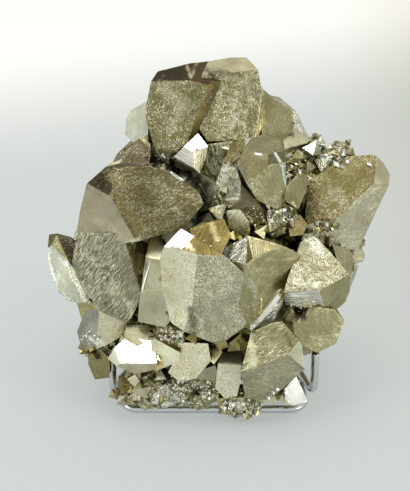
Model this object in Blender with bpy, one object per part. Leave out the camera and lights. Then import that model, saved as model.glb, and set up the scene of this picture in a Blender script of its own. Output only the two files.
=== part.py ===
"""Pyrite specimen: one grown cluster of distorted octahedral crystals, leaning back on a bent-wire stand.

Metres, +Z up. The origin is on the table, under the middle of the whole object.

The large crystals are drawn square to the cluster's face, in millimetres across and up from the middle of
that face, as the corners of their flat facets. Each facet also has the bearing it falls towards (degrees,
clockwise from straight up) and its slope. The heights of all corners follow from these, because facets are
flat and meet along their edges. A crystal is a block cut by its facet planes in front, and by tapering planes
behind them, where it grows out of the others. Smaller crystals come from a seeded generator. The cluster is
the union of all of them.
"""

import itertools
import math
import random
from collections import namedtuple

import bmesh
import bpy
import numpy as np
from mathutils import Euler, Matrix, Vector

MM = 0.001
SAME = 1e-6  # points this close, in metres, are one

# Cluster
LEAN = math.radians(25)  # how far the face of the cluster leans back
FACE_MIDDLE = Vector((0, 0, 76.2))  # the face's middle above the table, before the object is centred
SIGHT = 500  # the drawing is in perspective, from a point this far in front of the face's middle
MEET = 5  # how firmly facets meet at their shared corners
KEEP = 6  # how firmly they keep their own bearing and slope
SPARE = 4  # how far the block that a large crystal is cut from reaches past it
FLAT = math.radians(0.3)  # neighbouring faces of the cluster within this angle become one

# Small crystals: how far their eight faces are from their middle, and the width of the cube they are cut
# from, both as shares of their size. A narrow cube leaves cut tips.
FACE_REACH = (0.38, 0.56)
SHARP = (2.2, 2.2)
BLUNT = (1.2, 1.5)

# Core and back, drawn like the crystals: the rim, then each layer's share of it and its height
CORE_RIM = [
    (-60, -12), (-50, 22), (-27, 48), (-14, 74), (22, 76), (38, 54), (62, 34), (70, 2), (58, -38), (40, -60),
    (0, -66), (-36, -58), (-54, -38),
]
CORE_LAYERS = [(0.5, 9), (0.93, -3), (1, -14), (0.7, -42)]
BACK_SEED = 5
BACK_COUNT = 64
BACK_REACH = 0.97  # as a share of the rim
BACK_DEPTH = 46
BACK_LAYERS = (0.2, 0.98)  # where the crystals start and end, as shares of that depth
BACK_SIZE = (16, 34)  # at the rim and at the deepest point
BACK_VARIETY = (0.85, 1.15)

# Stand
WIRE = 4.0  # thick
WIRE_TURN = math.radians(22.5)  # turns the wire's eight sides so that a flat one lies on the table
GAP = 0.3  # between pieces that touch
TABLE_GAP = 1.0  # between the cluster and the table
STAND_X = 4.3  # the stand's middle, beside the face's middle
RAIL_Y = -34.7  # the base wire's front run
RAIL_HALF = 46.0
RAIL_CORNER = 9.0
BASE_DEPTH = 89.0
ARM_Z = 1.5 * WIRE + GAP  # the arms lie across the base wire
ARM_BACK = 56.0
PEG_HALF = 50.6
PEG_Y = -26.0
PEG_TOP = 29.5
BEND = 5.0
BEND_STEPS = 5
REST_HALF = 31.0
REST_HEIGHT = 88.0
REST_LEAN = math.radians(11)
BEYOND = 260  # past the cluster on every side

Crystal = namedtuple("Crystal", "name corners facets out root deep")
Patch = namedtuple("Patch", "middle spread count size seed")


def large_crystals():
    """The crystals of the face: corners (across, up), facets (corners, bearing, slope), highest corner,
    the share of its width left at its root, and its depth."""
    return [
        Crystal(
            "crown_left",
            dict(A=(-24, 87.5), B=(-8, 91), C=(1.5, 92.5), D=(9, 87.5), E=(6, 82), F=(-27, 82),
                 G=(-7.5, 82.5), H=(1, 80.5), I=(-29.5, 73.5), J=(-29.5, 62.5), K=(-25, 48.5),
                 L=(-21, 42.5), M=(-8.5, 52.5), N=(-4, 56)),
            [("ABGF", 355, 58), ("BCDEHG", 20, 50), ("FGHMLKJI", 225, 14), ("HENM", 95, 48)],
            out=20, root=0.3, deep=38,
        ),
        Crystal(
            "crown_right",
            dict(A=(1.5, 92), B=(12.5, 94), C=(23.5, 94), D=(26.5, 88), F=(8, 86), G=(28.5, 80.5),
                 H=(25.5, 58.5), I=(15.5, 52.5), J=(1.5, 51.5), K=(-3, 58.5), L=(33, 72.5), M=(33, 55.5)),
            [("ABCDF", 5, 50), ("FDGHIJK", 175, 12), ("GLMH", 95, 45)],
            out=14.5, root=0.3, deep=40,
        ),
        Crystal(
            "crown_shoulder",
            dict(A=(29, 78), B=(33.5, 74.5), C=(43, 66.5), D=(44, 57), E=(39, 53.5), F=(28.5, 53.5),
                 G=(28.5, 67.5)),
            [("ABCDEFG", 60, 38)],
            out=9, root=0.35, deep=34,
        ),
        Crystal(
            "crown_spark",
            dict(A=(-3.5, 56), B=(1.5, 49.5), C=(-6, 46.5), D=(-10.5, 49.5), E=(-15.5, 44.5),
                 F=(-6.5, 39), G=(-2.5, 36), H=(0, 42.5), I=(-14.5, 39)),
            [("ABCD", 10, 40), ("BHGFC", 110, 42), ("DCFE", 250, 35), ("EFGI", 190, 62)],
            out=30, root=0.55, deep=40,
        ),
        Crystal(
            "left_great",
            dict(A=(-49.5, 39.5), B=(-41.5, 41.5), C=(-28, 40), D=(-16.5, 36.5), E=(-3.5, 27),
                 F=(-0.5, 21), G=(-8.5, 11.5), H=(-16.5, 7), I=(-32.5, 5.5), K=(-47, 24.5), L=(-35.5, 4),
                 M=(-40.5, 1), N=(-52.5, 4.5), O=(-64, 6.5), P=(-62.5, 17.5), Q=(-59, 31), S=(-45.5, 39)),
            [("SCDEFGHILK", 40, 18), ("ABCS", 0, 62), ("QASK", 325, 45), ("QKLMNOP", 255, 40)],
            out=36, root=0.4, deep=62,
        ),
        Crystal(
            "left_low",
            dict(A=(-64, 6.5), B=(-52.5, 4.5), C=(-39, -1), F=(-32.5, -22.5), G=(-37, -36.5),
                 H=(-40, -38.5), I=(-52.5, -33), J=(-62.5, -17), K=(-66.5, -8.5), L=(-27.5, 1),
                 M=(-26, -6)),
            [("ABCFGHIJK", 215, 18), ("CLMF", 85, 48)],
            out=30, root=0.4, deep=50,
        ),
        Crystal(
            "left_far",
            dict(A=(-78, 5.5), B=(-67, 7), C=(-63.5, 5), D=(-65.5, -10.5), E=(-69.5, -9), F=(-79, -6),
                 G=(-77.5, -14.5), H=(-74, -24), I=(-67, -30.5), J=(-58, -30), M=(-57, -27),
                 N=(-77.5, 0.5)),
            [("ABNF", 320, 62), ("NBCDE", 20, 40), ("FNEJIHG", 245, 32), ("EDMJ", 75, 55)],
            out=14, root=0.3, deep=32,
        ),
        Crystal(
            "heart",
            dict(A=(-12, 8.5), B=(-7.5, 2.5), C=(-11.5, -2), D=(-20.5, -0.5), E=(-3.5, -4.5), G=(-7, -31),
                 H=(-10.5, -43), I=(-17, -38.5), J=(-21.5, -22.5), K=(-22.5, -6.5), L=(7, -6),
                 M=(17.5, -18), N=(26, -19.5), O=(25.5, -36.5), P=(10.5, -47.5), R=(3.5, -48.5)),
            [("ABCD", 350, 50), ("BEC", 60, 42), ("DCEGHIJK", 260, 26), ("ELMNOPG", 110, 18),
             ("GPRH", 190, 50)],
            out=52, root=0.45, deep=64,
        ),
        Crystal(
            "heart_left",
            dict(A=(-26.5, -6.5), B=(-22, -7), C=(-21, -22.5), D=(-16.5, -36.5), E=(-20, -41),
                 F=(-33.5, -38), G=(-33, -30), H=(-31, -23), I=(-27, 6.5), J=(-22, 6.5)),
            [("ABCDEFGH", 200, 20), ("IJBA", 0, 44)],
            out=36, root=0.6, deep=50,
        ),
        Crystal(
            "heart_gold",
            dict(A=(-7.5, 8.5), B=(-1.5, 12), C=(9.5, 13.5), D=(13, 5), E=(6.5, -7), F=(1, -5.5),
                 G=(-6.5, 2.5)),
            [("ACDEFG", 320, 30), ("ABC", 0, 60)],
            out=47.5, root=0.55, deep=50,
        ),
        Crystal(
            "yellow_step",
            dict(A=(11, 17.5), B=(17.5, 18), C=(22, 12), D=(22.5, 6.5), E=(20, 3.5), F=(12, 9)),
            [("ABCDEF", 200, 35)],
            out=42, root=0.55, deep=45,
        ),
        Crystal(
            "heart_right",
            dict(A=(8.5, -2), B=(21.5, 5), C=(20.5, -10), D=(10.5, -7), E=(23.5, -6.5), F=(35, -1),
                 G=(44.5, -2.5), H=(47.5, -5.5), I=(40.5, -20), K=(25.5, -36.5), M=(20, -18), N=(14, -13),
                 O=(39, -29), P=(34, -38), Q=(23.5, -43.5)),
            [("ABCD", 290, 40), ("BFE", 15, 48), ("BEC", 60, 52), ("EFGHIKMC", 110, 24), ("DCMN", 200, 52),
             ("IOPQK", 150, 48)],
            out=46, root=0.45, deep=62,
        ),
        Crystal(
            "middle_high",
            dict(A=(22.5, 53), B=(30, 56), C=(39, 53), D=(38, 47), E=(31.5, 45.5), F=(21.5, 47),
                 G=(16, 39.5), H=(21, 30.5), I=(31, 40), S=(38.5, 41.5), T=(40.5, 28), U=(40, 18.5),
                 V=(36, 18), W=(25.5, 23)),
            [("ABCDEF", 0, 48), ("FEIHG", 240, 24), ("ISTUVWH", 150, 22), ("EDSI", 70, 50)],
            out=42, root=0.5, deep=55,
        ),
        Crystal(
            "middle_right",
            dict(A=(40.5, 29.5), B=(47.5, 37), C=(51, 35), D=(51, 28.5), E=(46.5, 18), F=(40.5, 22)),
            [("ABCDEF", 70, 30)],
            out=34, root=0.55, deep=45,
        ),
        Crystal(
            "middle_left",
            dict(A=(15.5, 52.5), B=(22.5, 54), C=(21.5, 47), D=(17.5, 45), E=(12, 40), F=(9, 42.5),
                 G=(13, 49.5)),
            [("ABCDEFG", 320, 38)],
            out=33, root=0.55, deep=45,
        ),
        Crystal(
            "throat_blade",
            dict(A=(1, 50.5), B=(14.5, 52.5), C=(9, 41), D=(3, 24), E=(-1, 32.5)),
            [("ABCDE", 215, 30)],
            out=22, root=0.65, deep=40,
        ),
        Crystal(
            "throat_silver",
            dict(A=(9, 41.5), B=(15.5, 39), C=(18, 31.5), D=(17.5, 22), E=(7, 15.5), F=(2.5, 15),
                 G=(3, 24.5)),
            [("ABCDEFG", 250, 34)],
            out=32, root=0.6, deep=40,
        ),
        Crystal(
            "right_great",
            dict(A=(70.5, 44.5), B=(83.5, 45.5), C=(86, 43.5), D=(84.5, 31), F=(72.5, 20), G=(63.5, 11),
                 H=(58, 9), I=(50, 13.5), J=(52, 32.5), K=(60, 37.5), L=(89.5, 41), M=(92.5, 35.5),
                 N=(92, 30.5), O=(87.5, 22), P=(82.5, 13.5), Q=(76.5, -2.5), R=(64.5, -0.5), S=(61.5, 7)),
            [("ABCDFGHIJK", 300, 22), ("CLMND", 60, 50), ("DNOPQRSGF", 130, 42)],
            out=14, root=0.25, deep=38,
        ),
        Crystal(
            "right_low",
            dict(A=(47.5, 5.5), B=(54, 6), C=(66.5, -8.5), D=(68, -16.5), E=(57.5, -22.5), F=(41, -23),
                 G=(41.5, -16), H=(58, -25.5), I=(53.5, -28.5), J=(39, -29.5), K=(72, -13.5),
                 L=(72.5, -22.5), M=(70, -28.5), N=(66.5, -31.5), O=(59.5, -30)),
            [("ABCDEFG", 20, 26), ("FEHIJ", 185, 58), ("DKLMNOHE", 125, 45)],
            out=34, root=0.4, deep=50,
        ),
        Crystal(
            "right_edge",
            dict(A=(63.5, 1), B=(72.5, -2), C=(74.5, -7.5), D=(73, -15), E=(67.5, -11.5)),
            [("ABCDE", 60, 35)],
            out=12, root=0.3, deep=36,
        ),
        Crystal(
            "khaki",
            dict(A=(46, -39), B=(53, -33.5), C=(65, -32), D=(69.5, -38), E=(65.5, -49), F=(56, -53.5),
                 G=(49, -50), H=(44.5, -43.5), I=(44.5, -31)),
            [("ABCDEFGH", 120, 24), ("AIB", 330, 50)],
            out=28, root=0.35, deep=44,
        ),
        Crystal(
            "foot_left",
            dict(A=(-53, -32.5), B=(-39.5, -38), C=(-42, -45.5), D=(-47.5, -49), E=(-54, -47),
                 G=(-59.5, -32), H=(-64, -43), I=(-62, -50.5), J=(-56.5, -52.5)),
            [("ABCDE", 185, 24), ("GAEJIH", 260, 42)],
            out=14, root=0.35, deep=34,
        ),
        Crystal(
            "foot_olive",
            dict(A=(-39.5, -38.5), B=(-21, -40.5), C=(-23.5, -46.5), D=(-34, -50), E=(-40.5, -46)),
            [("ABCDE", 0, 32)],
            out=23, root=0.5, deep=36,
        ),
        Crystal(
            "foot_brown",
            dict(A=(-58, -52.5), B=(-52.5, -51.5), C=(-48, -56.5), D=(-47.5, -66), E=(-55, -67),
                 F=(-58.5, -59)),
            [("ABCDEF", 260, 32)],
            out=8, root=0.3, deep=28,
        ),
        Crystal(
            "foot_white",
            dict(A=(-40.5, -46), B=(-33.5, -49.5), C=(-27, -47.5), D=(-24.5, -54), E=(-26.5, -59),
                 F=(-42.5, -59), G=(-45.5, -51.5), H=(-49, -56.5), I=(-24.5, -62), J=(-35, -64.5)),
            [("ABCDEFG", 350, 32), ("GFH", 265, 55), ("FEIJ", 185, 56)],
            out=28, root=0.45, deep=38,
        ),
        Crystal(
            "foot_olive_mid",
            dict(A=(-27, -48), B=(-22.5, -48), C=(-12.5, -53.5), D=(-13, -58), E=(-24, -62.5),
                 F=(-26, -59), G=(-23, -45.5), H=(-15.5, -47), I=(-12, -51)),
            [("ABCDEF", 205, 25), ("BGHIC", 20, 55)],
            out=29, root=0.5, deep=36,
        ),
        Crystal(
            "foot_rough",
            dict(A=(-10.5, -48.5), B=(1.5, -49), C=(3, -57.5), D=(-4.5, -66.5), E=(-12.5, -68.5),
                 F=(-18.5, -63.5), G=(-13, -56)),
            [("ABCDEFG", 185, 20)],
            out=27, root=0.45, deep=38,
        ),
        Crystal(
            "foot_middle",
            dict(A=(6.5, -59), B=(17, -60), C=(18.5, -64), D=(16, -75.5), E=(10, -76.5), F=(4, -70.5),
                 G=(8, -53), H=(18, -53.5)),
            [("ABCDEF", 190, 20), ("GHBA", 0, 45)],
            out=22, root=0.45, deep=34,
        ),
        Crystal(
            "foot_gold",
            dict(A=(2, -51.5), B=(9, -50), C=(8.5, -53.5), D=(4.5, -59.5), E=(2.5, -57.5)),
            [("ABCDE", 330, 40)],
            out=26, root=0.5, deep=34,
        ),
        Crystal(
            "foot_right",
            dict(A=(23, -43.5), B=(33.5, -38.5), C=(38.5, -38), D=(43.5, -44), E=(45, -50.5),
                 F=(41.5, -54.5), G=(32.5, -58), H=(28, -59.5), I=(26, -52.5), J=(48.5, -50),
                 K=(50, -61.5), M=(18, -63), N=(42.5, -68.5), O=(33.5, -76), P=(26.5, -77.5), Q=(20, -76)),
            [("ABCDEFGHI", 165, 18), ("EJKF", 95, 45), ("MHGFKNOPQ", 190, 42), ("AIHM", 280, 32)],
            out=33, root=0.4, deep=46,
        ),
        Crystal(
            "foot_tip",
            dict(A=(45.5, -65), B=(51.5, -78), C=(43.5, -80), D=(40, -77), E=(40, -71.5)),
            [("ABCDE", 100, 32)],
            out=18, root=0.4, deep=28,
        ),
        Crystal(
            "foot_hanging",
            dict(A=(5.5, -76.5), B=(17.5, -75.5), C=(29.5, -78), D=(26.5, -83.5), E=(21.5, -86),
                 F=(12.5, -85.5), G=(7.5, -83.5)),
            [("ABCDEFG", 180, 28)],
            out=14, root=0.5, deep=22,
        ),
        Crystal(
            "middle_lump",
            dict(A=(20.5, 18.5), B=(25.5, 20), C=(29.5, 16), D=(27.5, 11), E=(21.5, 10.5), F=(30.5, 8.5),
                 G=(23.5, 6.5)),
            [("ABCDE", 190, 22), ("EDFG", 180, 55)],
            out=33, root=0.5, deep=30,
        ),
        Crystal(
            "middle_olive",
            dict(A=(41.5, 11.5), B=(47.5, 15.5), C=(51.5, 10.5), D=(49, 5.5), E=(42.5, 4.5)),
            [("ABCDE", 40, 28)],
            out=27, root=0.5, deep=40,
        ),
        Crystal(
            "foot_gold_left",
            dict(A=(-38.5, -66.5), B=(-35, -64.5), C=(-31.5, -69.5), D=(-32.5, -77.5), E=(-39, -77.5),
                 F=(-41, -72.5)),
            [("ABCDEF", 260, 30)],
            out=15, root=0.5, deep=26,
        ),
        Crystal(
            "foot_pink",
            dict(A=(-32, -70.5), B=(-26.5, -68), C=(-22, -72.5), D=(-23.5, -80), E=(-29.5, -81.5),
                 F=(-33, -77.5)),
            [("ABCDEF", 190, 25)],
            out=15, root=0.5, deep=26,
        ),
        Crystal(
            "foot_blue",
            dict(A=(-23.5, -70.5), B=(-17.5, -69), C=(-13, -73.5), D=(-14.5, -79.5), E=(-20.5, -81.5),
                 F=(-24, -78.5)),
            [("ABCDEF", 150, 30)],
            out=16, root=0.5, deep=26,
        ),
        Crystal(
            "foot_druse",
            dict(A=(-21, -68), B=(-14, -66.5), C=(-4, -63), D=(5, -60), E=(9, -68), F=(9, -77), G=(-2, -80),
                 H=(-14, -80.5), I=(-22, -78)),
            [("ABCDEFGHI", 190, 30)],
            out=19, root=0.6, deep=26,
        ),
        Crystal(
            "crown_back_left",
            dict(A=(-28.5, 72.5), B=(-37, 67.5), C=(-39.5, 63.5), D=(-40, 55.5), E=(-35.5, 51),
                 F=(-28.5, 55.5)),
            [("ABCDEF", 290, 32)],
            out=-4, root=0.35, deep=22,
        ),
        Crystal(
            "crown_back_low",
            dict(A=(-43, 48), B=(-33, 53.5), C=(-29, 55.5), D=(-27, 48.5), E=(-28, 41), F=(-35, 39.5),
                 G=(-41, 40.5)),
            [("ABDEFG", 300, 30), ("BCD", 20, 45)],
            out=6, root=0.35, deep=32,
        ),
        Crystal(
            "crown_back_right",
            dict(A=(31.5, 75.5), B=(37.5, 74), C=(45.5, 67), D=(53.5, 51), E=(51, 43.5), F=(43.5, 47.5),
                 G=(32.5, 66.5)),
            [("ABCG", 30, 45), ("GCDEF", 70, 30)],
            out=-6, root=0.35, deep=22,
        ),
    ]


def small_patches():
    """Where small crystals crowd: the patch's middle (across, up, out), its spread to each side, and how many
    crystals there are, of what sizes."""
    return [
        Patch((62, 45, -8), (9, 8, 6), 14, (5, 10), 1),
        Patch((46, 38, 12), (6, 7, 4), 8, (4, 7), 2),
        Patch((36, 13, 24), (7, 5, 4), 9, (4, 8), 3),
        Patch((58, 7, 14), (5, 5, 4), 7, (4, 7), 4),
        Patch((-17, -45, 18), (7, 6, 4), 11, (4, 8), 5),
        Patch((-4, -73, 10), (10, 6, 3), 14, (5, 9), 6),
        Patch((-26, -74, 8), (7, 4, 3), 7, (6, 9), 7),
        Patch((-36, -72, 7), (4, 5, 3), 6, (5, 9), 8),
        Patch((-53, -47, 0), (5, 5, 4), 6, (5, 9), 9),
        Patch((16, -77, 10), (10, 4, 3), 10, (5, 9), 10),
        Patch((37, -72, 4), (7, 4, 3), 7, (5, 8), 11),
        Patch((-12, 36, 2), (6, 8, 4), 8, (4, 8), 12),
        Patch((12, 22, 20), (5, 8, 4), 6, (4, 8), 13),
    ]


def new_collection(name):
    collection = bpy.data.collections.new(name)
    bpy.context.scene.collection.children.link(collection)
    return collection


def metal(name, colour, roughness):
    """A Principled metal of one colour."""
    material = bpy.data.materials.new(name)
    material.use_nodes = True
    shader = material.node_tree.nodes["Principled BSDF"]
    shader.inputs["Base Color"].default_value = (*colour, 1)
    shader.inputs["Metallic"].default_value = 1
    shader.inputs["Roughness"].default_value = roughness
    return material


def pyrite():
    return metal("pyrite", (0.56, 0.52, 0.34), 0.32)


def chrome():
    return metal("chrome", (0.78, 0.79, 0.80), 0.08)


def real_place(point):
    """A drawn point (across, up, out) as it really stands. In the drawing nearer things look larger."""
    across, up, out = (value / (1 + point[2] / SIGHT) for value in point)
    back = up * math.sin(LEAN) - out * math.cos(LEAN)
    raised = up * math.cos(LEAN) + out * math.sin(LEAN)
    return (FACE_MIDDLE + Vector((across, back, raised))) * MM


def facet_heights(crystal):
    """Each facet as (a, b, c), with height = a across + b up + c: the least squares of all facets' wishes."""
    count = len(crystal.facets)
    rows = []
    wishes = []

    def ask(wish, weight, *terms):
        row = np.zeros((count, 3))
        for index, values in terms:
            row[index] += values
        rows.append(weight * row.ravel())
        wishes.append(weight * wish)

    for key, (across, up) in crystal.corners.items():
        owners = [index for index, facet in enumerate(crystal.facets) if key in facet[0]]
        for one, other in zip(owners, owners[1:]):
            ask(0, MEET, (one, (across, up, 1)), (other, (-across, -up, -1)))
    for index, (_, bearing, slope) in enumerate(crystal.facets):
        fall = math.tan(math.radians(slope))
        ask(-fall * math.sin(math.radians(bearing)), KEEP, (index, (1, 0, 0)))
        ask(-fall * math.cos(math.radians(bearing)), KEEP, (index, (0, 1, 0)))
    across, up = np.mean(list(crystal.corners.values()), axis=0)
    ask(0, 1, (0, (across, up, 1)))
    return np.linalg.lstsq(np.array(rows), np.array(wishes), rcond=None)[0].reshape(count, 3)


def corner_heights(crystal, heights):
    """The height of each corner, the mean over its facets, and the shift that puts the highest in place."""
    found = {}
    for key, (across, up) in crystal.corners.items():
        owners = [index for index, facet in enumerate(crystal.facets) if key in facet[0]]
        found[key] = float(np.mean([heights[index] @ (across, up, 1) for index in owners]))
    shift = crystal.out - max(found.values())
    return {key: height + shift for key, height in found.items()}, shift


def outline(points):
    """The convex outline of points in the plane, anticlockwise."""
    points = sorted(set(points))

    def half(points):
        chain = []
        for point in points:
            while len(chain) > 1 and turn(chain[-2], chain[-1], point) <= 0:
                chain.pop()
            chain.append(point)
        return chain[:-1]

    return half(points) + half(points[::-1])


def turn(a, b, c):
    return (b[0] - a[0]) * (c[1] - a[1]) - (b[1] - a[1]) * (c[0] - a[0])


def crystal_planes(crystal):
    """The planes that bound a large crystal, as (point, normal) in the drawing: its facets, then its sides,
    which taper towards a tip. Its depth ends where only the root's share of its width is left."""
    heights = facet_heights(crystal)
    corners, shift = corner_heights(crystal, heights)
    planes = []
    for a, b, c in heights:
        planes.append((Vector((0, 0, c + shift)), Vector((-a, -b, 1)).normalized()))
    place = {crystal.corners[key]: height for key, height in corners.items()}
    edge = outline(list(crystal.corners.values()))
    tip = Vector((*np.mean(edge, axis=0), crystal.out - crystal.deep / (1 - crystal.root)))
    for start, end in zip(edge, edge[1:] + edge[:1]):
        along = Vector((end[0] - start[0], end[1] - start[1], place[end] - place[start]))
        down = tip - Vector((*start, place[start]))
        planes.append((Vector((*start, place[start])), down.cross(along).normalized()))
    return planes


def cut_flat(mesh, point, normal):
    """Cuts off what lies beyond the plane, and closes the cut."""
    geometry = mesh.verts[:] + mesh.edges[:] + mesh.faces[:]
    cut = bmesh.ops.bisect_plane(
        mesh, geom=geometry, dist=SAME, plane_co=point, plane_no=normal, clear_outer=True
    )
    rim = [item for item in cut["geom_cut"] if isinstance(item, bmesh.types.BMEdge)]
    if rim:
        bmesh.ops.contextual_create(mesh, geom=rim)


def new_mesh_object(name, mesh, collection):
    """An object of this bmesh, with its faces pointing out."""
    bmesh.ops.recalc_face_normals(mesh, faces=mesh.faces[:])
    data = bpy.data.meshes.new(name)
    mesh.to_mesh(data)
    mesh.free()
    obj = bpy.data.objects.new(name, data)
    collection.objects.link(obj)
    return obj


def box_mesh(low, high):
    """A plain box between two corners."""
    mesh = bmesh.new()
    bmesh.ops.create_cube(mesh, size=1)
    bmesh.ops.scale(mesh, vec=high - low, verts=mesh.verts)
    bmesh.ops.translate(mesh, vec=(low + high) / 2, verts=mesh.verts)
    return mesh


def large_crystal(crystal, collection):
    """A block cut by the crystal's planes, then set in its real place."""
    across, up = np.array(list(crystal.corners.values())).T
    mesh = box_mesh(
        Vector((across.min() - SPARE, up.min() - SPARE, crystal.out - crystal.deep)),
        Vector((across.max() + SPARE, up.max() + SPARE, crystal.out + SPARE)),
    )
    for point, normal in crystal_planes(crystal):
        cut_flat(mesh, point, normal)
    for vertex in mesh.verts:
        vertex.co = real_place(vertex.co)
    return new_mesh_object(crystal.name, mesh, collection)


def small_crystal(name, place, size, widths, rng, collection):
    """A distorted octahedron, turned at random: a cube cut by eight slanted planes, each at its own distance.
    The cube's own faces stay as cut tips where it is narrow."""
    turned = Euler([rng.uniform(0, math.tau) for _ in range(3)]).to_matrix()
    mesh = bmesh.new()
    bmesh.ops.create_cube(mesh, size=size * rng.uniform(*widths) * MM)
    for signs in itertools.product((-1, 1), repeat=3):
        normal = Vector(signs).normalized()
        cut_flat(mesh, normal * size * rng.uniform(*FACE_REACH) * MM, normal)
    bmesh.ops.transform(mesh, matrix=turned.to_4x4(), verts=mesh.verts)
    bmesh.ops.translate(mesh, vec=place, verts=mesh.verts)
    return new_mesh_object(name, mesh, collection)


def patch_crystals(collection):
    """The crowds of small crystals in the gaps of the face."""
    for number, patch in enumerate(small_patches()):
        rng = random.Random(patch.seed)
        for index in range(patch.count):
            drawn = [middle + rng.uniform(-1, 1) * reach for middle, reach in zip(patch.middle, patch.spread)]
            size = rng.uniform(*patch.size)
            small_crystal(f"patch_{number}_{index}", real_place(drawn), size, SHARP, rng, collection)


def back_crystals(collection):
    """Crystals all over the back and the sides, on an egg-shaped shell, spread evenly by the golden angle."""
    rng = random.Random(BACK_SEED)
    golden = math.pi * (3 - math.sqrt(5))
    for index in range(BACK_COUNT):
        depth = float(np.interp((index + 0.5) / BACK_COUNT, (0, 1), BACK_LAYERS))
        around = index * golden
        reach = BACK_REACH * rim_reach(around) * math.sqrt(1 - depth * depth)
        drawn = (reach * math.cos(around), reach * math.sin(around), -BACK_DEPTH * depth)
        size = rng.uniform(*BACK_VARIETY) * float(np.interp(depth, (0, 1), BACK_SIZE))
        small_crystal(f"back_{index}", real_place(drawn), size, BLUNT, rng, collection)


def rim_reach(direction):
    """How far the core's rim is from the middle in this direction, in radians anticlockwise from across."""
    bearings = [math.atan2(up, across) for across, up in CORE_RIM]
    reaches = [math.hypot(across, up) for across, up in CORE_RIM]
    return float(np.interp(direction, *zip(*sorted(zip(bearings, reaches))), period=math.tau))


def core(collection):
    """The solid middle that every crystal grows from: the hull of a rim in front and a smaller one behind."""
    mesh = bmesh.new()
    for across, up in CORE_RIM:
        for share, out in CORE_LAYERS:
            mesh.verts.new(real_place((across * share, up * share, out)))
    bmesh.ops.convex_hull(mesh, input=mesh.verts[:])
    return new_mesh_object("pyrite_cluster", mesh, collection)


def block(name, low, high, collection):
    """A box between two corners, in millimetres."""
    return new_mesh_object(name, box_mesh(Vector(low) * MM, Vector(high) * MM), collection)


def boolean(obj, operation, other):
    """A Boolean with one object, or with all objects of a collection."""
    modifier = obj.modifiers.new(operation.lower(), "BOOLEAN")
    modifier.operation = operation
    modifier.solver = "EXACT"
    if isinstance(other, bpy.types.Collection):
        modifier.operand_type = "COLLECTION"
        modifier.collection = other
    else:
        modifier.object = other


def keep_largest_island(mesh):
    """Drops the loose scraps and closed pockets that crystals leave between them, and joins flat faces."""
    left = set(mesh.verts)
    islands = []
    while left:
        island = set()
        front = [left.pop()]
        while front:
            vertex = front.pop()
            island.add(vertex)
            for edge in vertex.link_edges:
                other = edge.other_vert(vertex)
                if other in left:
                    left.discard(other)
                    front.append(other)
        islands.append(island)
    islands.sort(key=len)
    scraps = [vertex for island in islands[:-1] for vertex in island]
    bmesh.ops.delete(mesh, geom=scraps, context="VERTS")
    bmesh.ops.dissolve_limit(mesh, angle_limit=FLAT, verts=mesh.verts[:], edges=mesh.edges[:])


def applied(obj, clean=None):
    """Replaces the object's mesh by what its modifiers make of it."""
    graph = bpy.context.evaluated_depsgraph_get()
    data = bpy.data.meshes.new_from_object(obj.evaluated_get(graph))
    obj.modifiers.clear()
    obj.data = data
    if clean:
        mesh = bmesh.new()
        mesh.from_mesh(data)
        clean(mesh)
        mesh.to_mesh(data)
        mesh.free()


def pyrite_cluster(parts, helpers):
    """All crystals joined into one solid, clear of the stand below and behind."""
    cluster = core(parts)
    grown = new_collection("grown_crystals")
    grown.hide_render = True
    for crystal in large_crystals():
        large_crystal(crystal, grown)
    patch_crystals(grown)
    back_crystals(grown)
    boolean(cluster, "UNION", grown)
    applied(cluster)
    for cutter in stand_clearances(helpers):
        boolean(cluster, "DIFFERENCE", cutter)
    applied(cluster, keep_largest_island)
    for helper in list(grown.objects):
        bpy.data.objects.remove(helper)
    bpy.data.collections.remove(grown)
    cluster.data.materials.clear()
    cluster.data.materials.append(pyrite())
    return cluster


def stand_clearances(collection):
    """What the cluster may not reach into: the table, the wires under it, the pegs, and the back rest."""
    rail_front = RAIL_Y - WIRE / 2 - GAP
    arm_top = ARM_Z + WIRE / 2 + GAP
    cutters = [
        block("table_clearance", (-BEYOND, -BEYOND, -BEYOND), (BEYOND, BEYOND, TABLE_GAP), collection),
        block("arm_clearance", (-BEYOND, rail_front, -BEYOND), (BEYOND, BEYOND, arm_top), collection),
        rest_clearance(collection),
        peg_clearance(-1, collection),
        peg_clearance(1, collection),
    ]
    for cutter in cutters:
        cutter.display_type = "WIRE"
        cutter.hide_render = True
    return cutters


def rest_clearance(collection):
    """The space behind the front of the back rest's slanted plane."""
    front = -WIRE / 2 - GAP
    cutter = block("rest_clearance", (-BEYOND, front, -BEYOND), (BEYOND, BEYOND, BEYOND), collection)
    cutter.data.transform(rest_frame())
    return cutter


def rest_frame():
    """From the back rest's own frame, upright in its plane, to where it stands on the arms' ends."""
    return Matrix.Translation(Vector((STAND_X, ARM_BACK, ARM_Z)) * MM) @ Matrix.Rotation(-REST_LEAN, 4, "X")


def peg_clearance(side, collection):
    """Room round a peg and the bend below it, so that a crystal beside it doesn't touch it."""
    reach = WIRE / 2 + GAP
    across = STAND_X + side * PEG_HALF
    low = (across - reach, PEG_Y - reach, 0)
    high = (across + reach, PEG_Y + reach + BEND, PEG_TOP + GAP)
    return block(f"peg_clearance_{side}", low, high, collection)


def rounded_path(corners, radius):
    """The points of a bent wire: straight runs between these corners, with an arc at each inner one."""
    corners = [Vector(corner) for corner in corners]
    path = [corners[0]]
    for before, corner, after in zip(corners, corners[1:], corners[2:]):
        to_start = (before - corner).normalized()
        to_end = (after - corner).normalized()
        half = to_start.angle(to_end) / 2
        middle = corner + (to_start + to_end).normalized() * (radius / math.sin(half))
        start = corner + to_start * (radius / math.tan(half)) - middle
        axis = to_end.cross(to_start).normalized()
        sweep = math.pi - 2 * half
        for step in range(BEND_STEPS + 1):
            path.append(middle + Matrix.Rotation(sweep * step / BEND_STEPS, 3, axis) @ start)
    path.append(corners[-1])
    return path


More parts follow.
